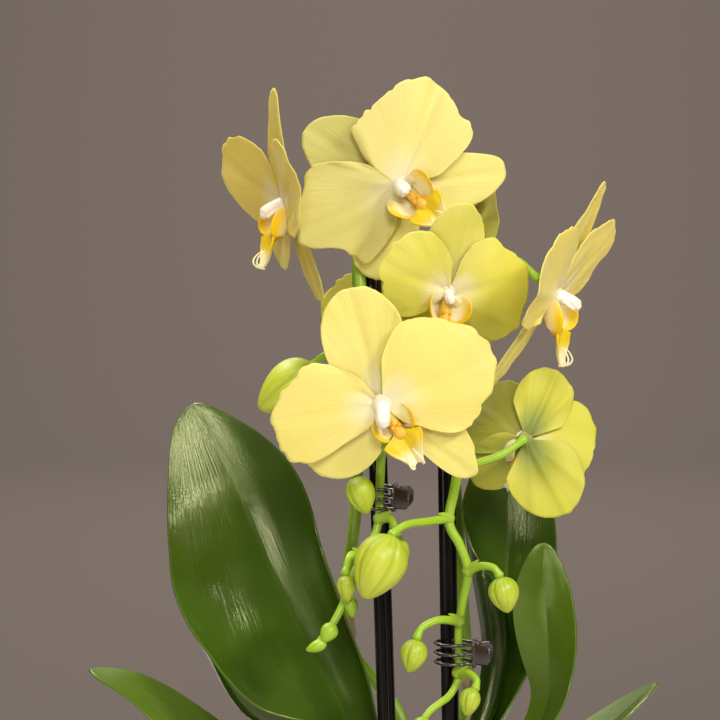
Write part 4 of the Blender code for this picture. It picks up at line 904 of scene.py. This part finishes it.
def spike(side, plan, paint):
    route = smooth_route(plan["route"], 260)
    share = np.linspace(0, 1, len(route))
    radii = np.interp(share, [0, 0.6, 1], [STEM_RADIUS + 0.3, STEM_RADIUS, plan["tip_radius"]])
    tint = 0.25 + 0.75 * eased(0.55, 0.95, share)
    shapes = [rod(route, radii, 18, tint=np.pad(tint, 3, "edge")[:, None])]
    for stops in (stops for owner, stops in PEDICELS.values() if owner == side):
        path = smooth_route(stops, 22)
        thin = np.linspace(PEDICEL_RADIUS + 0.4, PEDICEL_RADIUS, len(path))
        thin[-4:] = np.linspace(PEDICEL_RADIUS, PEDICEL_RADIUS + 0.5, 4)
        shapes.append(rod(path, thin, 14, tint=0.9))
        heading = unit(path[4] - path[0])
        bract = smooth_route([path[0], path[0] + 3.0 * heading + [0, 0, 1.5], path[0] + 6 * heading + [0, 0, 2.6]], 8)
        shapes.append(rod(bract, np.linspace(2.7, 0.4, 9), 14, tint=0.7, dry=0.12))
    for spot in plan["bracts"]:
        foot = np.array(spot, float)
        bract = smooth_route([foot, foot + [0, 0, 4], foot + [1.5, -1.5, 11]], 12)
        shapes.append(rod(bract, np.interp(np.linspace(0, 1, 13), [0, 0.4, 1], [3.4, 3.3, 0.5]), 16, dry=0.9))
    for centre, axis, length, width in TIP_BUDS[side]:
        shapes.append(egg(centre, axis, length, width, 16, 24, 3, tint=1.0))
    piece(f"stem_{side}", shapes, paint, [f"spike_{side}"])


def leaf_points(plan, rows, columns):
    """The mid-surface of a leaf: points, shares along it and shares across it."""
    route = smooth_route(plan["route"], 120)
    faces = smooth_route(plan["faces"], 120)
    tangents = unit(np.gradient(route, axis=0))
    faces -= (faces * tangents).sum(axis=1)[:, None] * tangents
    faces = unit(faces)
    sides = np.cross(tangents, faces)
    places = np.linspace(0, 1, len(route))
    steps = (np.arange(24) + 0.5) / 24  # on the way out to a point, where its turn is averaged
    u, v = (grid.ravel() for grid in np.meshgrid(np.linspace(0, 1, rows), np.linspace(-1, 1, columns), indexing="ij"))

    def at(table, t):
        return np.stack([np.interp(t, places, table[:, axis]) for axis in range(3)], axis=1)

    # Rows crowd toward both ends and columns toward the margins
    t = 0.5 - 0.5 * np.cos(math.pi * (0.06 + 0.925 * u))
    share = 1 - (1 - np.abs(v))**1.4
    left, right = ([(*knot, 2)[:5] for knot in plan[side]] for side in ("left", "right"))
    half, fold, curl, power = (np.where(v < 0, along_knots(left, t, column), along_knots(right, t, column))
                               for column in (1, 2, 3, 4))
    half = half * 2 * np.sqrt(t * (1 - t))
    turn = np.radians(fold[:, None] + curl[:, None] * (share[:, None] * steps)**power[:, None])
    across = half * share * np.cos(turn).mean(axis=1)
    proud = half * share * np.sin(turn).mean(axis=1)
    points = at(route, t) + (np.sign(v) * across)[:, None] * at(sides, t) + proud[:, None] * at(faces, t)
    shape = (rows, columns)
    return points.reshape(rows, columns, 3), t.reshape(shape), (np.sign(v) * share).reshape(shape)


def leaf(name, plan, paint):
    points, along, across = leaf_points(plan, LEAF_ROWS, LEAF_COLUMNS)
    thickness = LEAF_THICKNESS * (1.15 - 0.6 * across**2)  # thinner toward its margins
    shape = slab(points, thickness, along=along, across=across, tint=plan["tint"])
    piece(f"{name}_fine", [shape], paint, [name])


# ---- pot, bark, hoops and clips

def turned(profile, columns=120, **marks):
    """A solid of revolution about Z from a (radius, z) profile that starts and ends on the axis."""
    rings = np.array([[(radius * math.cos(turn), radius * math.sin(turn), z) for turn in whole_turn(columns)]
                      for radius, z in profile[1:-1]])
    return ring_shell(rings, **marks)


def pot(paint):
    slant = (POT_TOP_RADIUS - POT_BASE_RADIUS) / POT_HEIGHT
    base = POT_BASE_RADIUS - POT_WALL + slant * POT_WALL  # of the inside
    # Inside from the middle of its floor up, round the lip and down the outside
    profile = [(0, POT_WALL), (base - 4, POT_WALL), (base - 1.2, POT_WALL + 1.2), (base, POT_WALL + 4)]
    profile += [(base + 0.95 * (POT_TOP_RADIUS - POT_WALL - 0.6 - base) * share,
                 POT_WALL + 4 + 0.95 * (POT_HEIGHT - 7 - POT_WALL) * share) for share in (0.25, 0.5, 0.75, 1.0)]
    lip_radius = POT_WALL / 2
    profile += [(POT_TOP_RADIUS + lip_radius * (math.cos(turn) - 1), POT_HEIGHT + lip_radius * (math.sin(turn) - 1))
                for turn in np.radians(np.arange(180, -1, -15))]
    profile += [(POT_TOP_RADIUS + (POT_BASE_RADIUS + 0.6 - POT_TOP_RADIUS) * share, (POT_HEIGHT - 3) * (1 - share))
                for share in (0.2, 0.4, 0.6, 0.8, 0.97)]
    profile += [(POT_BASE_RADIUS + 0.2, 1.6), (POT_BASE_RADIUS - 0.4, 0.5), (POT_BASE_RADIUS - 1.5, 0), (0, 0)]
    piece("pot_fine", [turned(profile)], paint, ["pot"])


def bark(paint):
    draw = np.random.default_rng(7)
    top_radius = POT_TOP_RADIUS - POT_WALL - 2.0
    fill = [(0, 104), (top_radius - 6, 104), (top_radius - 3, 102), (POT_BASE_RADIUS - POT_WALL, 12), (0, 12)]
    shapes = [turned(fill, 60, tint=0.0)]
    for index in range(BARK_CHIPS):
        spread = math.sqrt((index + 0.5) / BARK_CHIPS) * (top_radius - 8)
        turn = index * math.radians(137.5)  # the golden angle, which spreads them evenly
        # A rough block, mostly lying flat
        size = np.array([draw.uniform(7, 15), draw.uniform(4, 9), draw.uniform(2.5, 5)])
        spin = draw.normal(size=4) * np.array([2.0, 0.35, 0.35, 1.5])
        matrix = np.array(Quaternion(spin / np.linalg.norm(spin)).to_matrix())
        height = -np.cos(np.linspace(0.25, math.pi - 0.25, 7))[:, None]
        around = whole_turn(10)[None, :]
        block = 1 / np.maximum(np.abs(np.cos(around)), np.abs(np.sin(around)))**0.7
        girth = (1 - height**2)**0.3 * block * (1 + 0.16 * draw.normal(size=(7, 10)))
        rings = np.stack([size[0] * height * np.ones_like(around), size[1] * 0.6 * girth * np.cos(around),
                          size[2] * 0.7 * girth * np.sin(around)], axis=-1)
        centre = np.array([spread * math.cos(turn), spread * math.sin(turn), BARK_TOP - 3 + draw.uniform(-3, 4)])
        if spread >= CROWN_RADIUS + 6:
            shapes.append(ring_shell(centre + rings @ matrix.T, tint=draw.uniform()))
    piece("bark_chips", shapes, paint, ["bark"], smooth=False)


def hoop(side, plan, paint):
    arch = []
    for share in np.linspace(0, 1, 33):
        x = plan["front"][1] * (1 - share) + plan["back"][1] * share
        turn = math.pi * share
        arch.append((x, HOOP_MID_Y - HOOP_HALF_SPAN * math.cos(turn), plan["spring"] + HOOP_HALF_SPAN * math.sin(turn)))
    front, back = ([(plan[leg][0], HOOP_MID_Y + way * HOOP_HALF_SPAN, z) for z in (HOOP_FOOT_Z, BARK_TOP + 12)]
                   for leg, way in (("front", -1), ("back", 1)))
    stops = front + arch + back[::-1]
    piece(f"hoop_{side}_fine", [rod(np.array(stops), WIRE_RADIUS, 24)], paint, [f"hoop_{side}"])


def clip(side, plan, paint):
    centre = np.array(plan["centre"])
    tabward, backward = swung(np.array([1.0, 0, 0]), np.array([0, 1.0, 0]), plan["turn"])
    forward, upward = -backward, np.array([0, 0, 1.0])
    half_width = plan["half"][0] + CLIP_BAR_RADIUS + GAP
    half_depth = plan["half"][1] + CLIP_BAR_RADIUS + GAP
    pin = half_width + 2.6

    def place(across, ahead, high):
        return centre + across * tabward + ahead * forward + high * upward

    def post(across, ahead, low, high, radius, sides, rounding=0.8, count=4):
        return rod(np.array([place(across, ahead, z) for z in np.linspace(low, high, count)]), radius, sides, rounding)

    def strut(*ends):
        return rod(np.array([place(*end) for end in ends]), 1.0, 12)

    # Each jaw: three prongs, the bar that joins them, the tab to press, and its part of the hinge
    u, v = np.linspace(0, 1, 16)[:, None], np.linspace(-1, 1, 15)[None, :]
    tall = 3.2 + 1.0 * eased(0, 0.3, u) - 1.9 * eased(0.72, 1.0, u)**2
    for jaw, hand in (("front", 1), ("back", -1)):
        shapes = []
        for level in (-CLIP_PITCH, 0, CLIP_PITCH):
            prong = [place(pin - 0.9, hand * 2.9, level)]
            prong += [place(half_width * math.cos(angle), hand * half_depth * math.sin(angle), level)
                      for angle in np.radians(np.arange(40, 171, 10))]
            shapes.append(rod(smooth_route(prong, 24), CLIP_BAR_RADIUS, 12))
        shapes.append(post(pin - 1.2, hand * 2.9, -CLIP_PITCH - 1, CLIP_PITCH + 1, 1.1, 14, count=5))
        tab_out, _ = swung(tabward, hand * forward, CLIP_TAB_TILT)
        bow = 0.3 * hand * (1 - v**2)
        tab = (place(pin - 1.6, hand * 2.7, 0) + (CLIP_TAB_LENGTH * u)[..., None] * tab_out
               + (tall * v)[..., None] * upward + bow[..., None] * np.cross(tab_out, upward))
        shapes.append(slab(tab, 1.0))
        if jaw == "front":
            shapes += [post(pin, 0, -1.6, 1.6, 1.65, 16), strut((pin - 1.2, 2.9, 0), (pin, 1.3, 0))]
        else:
            shapes.append(post(pin, 0, -4.6, 4.6, 0.6, 12))
            for low in (-4.6, 2.0):
                shapes += [post(pin, 0, low, low + 2.6, 1.65, 16, 0.2),
                           strut((pin - 1.2, -2.9, low + 1.3), (pin, -0.6, low + 1.3))]
        body = f"clip_{side}_front" if jaw == "front" else "root"
        piece(f"clip_{side}_{jaw}_fine", shapes, paint, [f"clip_{side}_{jaw}"], body)


# ---- the whole plant

studio()
pot(pot_paint())
bark(bark_paint())

leaf_look, stem_look, lip_look, column_look = leaf_paint(), stem_paint(), lip_paint(), column_paint()
bud_look, root_look = bud_paint(), root_paint()
hoop_look = gloss_paint("hoop", (0.0025, 0.0018, 0.0015), (0.005, 0.0035, 0.003), 0.22, 0.15)
clip_look = gloss_paint("clip", (0.020, 0.010, 0.008), (0.038, 0.020, 0.015), 0.18, 0.8)

crown_route = [(0, 0, z) for z in (CROWN_BOTTOM, 104, 112, 124, 138, CROWN_TOP - 4, CROWN_TOP - 1.5)]
crown_radii = CROWN_RADIUS * stretched([0.65, 0.9, 1, 1, 0.95, 0.7, 0.35], 31)
piece("crown_fine", [rod(smooth_route(crown_route, 30), crown_radii, 28)], leaf_look, ["crown"])
for side, plan in HOOPS.items():
    hoop(side, plan, hoop_look)
for side, plan in CLIPS.items():
    clip(side, plan, clip_look)
for name, stops in ROOTS.items():
    thick = ROOT_RADIUS * (1 + 0.08 * rough_line(np.linspace(0, 1, 41), 9, 3))
    piece(f"{name}_fine", [rod(smooth_route(stops, 40), thick, 18)], root_look, [name])
for name, plan in LEAVES.items():
    leaf(name, plan, leaf_look)
for side, plan in SPIKES.items():
    spike(side, plan, stem_look)
for index, (name, (centre, axis, length, width, seams, tint)) in enumerate(BUDS.items()):
    shape = egg(centre, axis, length, width, 40, 72, seams, BUD_SEAM_DEPTH, BUD_SPIN * index, tint=tint)
    piece(f"{name}_fine", [shape], bud_look, [name])
for index, (name, plan) in enumerate(BLOOMS.items()):
    tepals(name, plan, tepal_paint(f"{name}_tepal", 3.7 * index, *plan["tone"]))
    column(name, plan, column_look)
    lip(name, plan, lip_look)
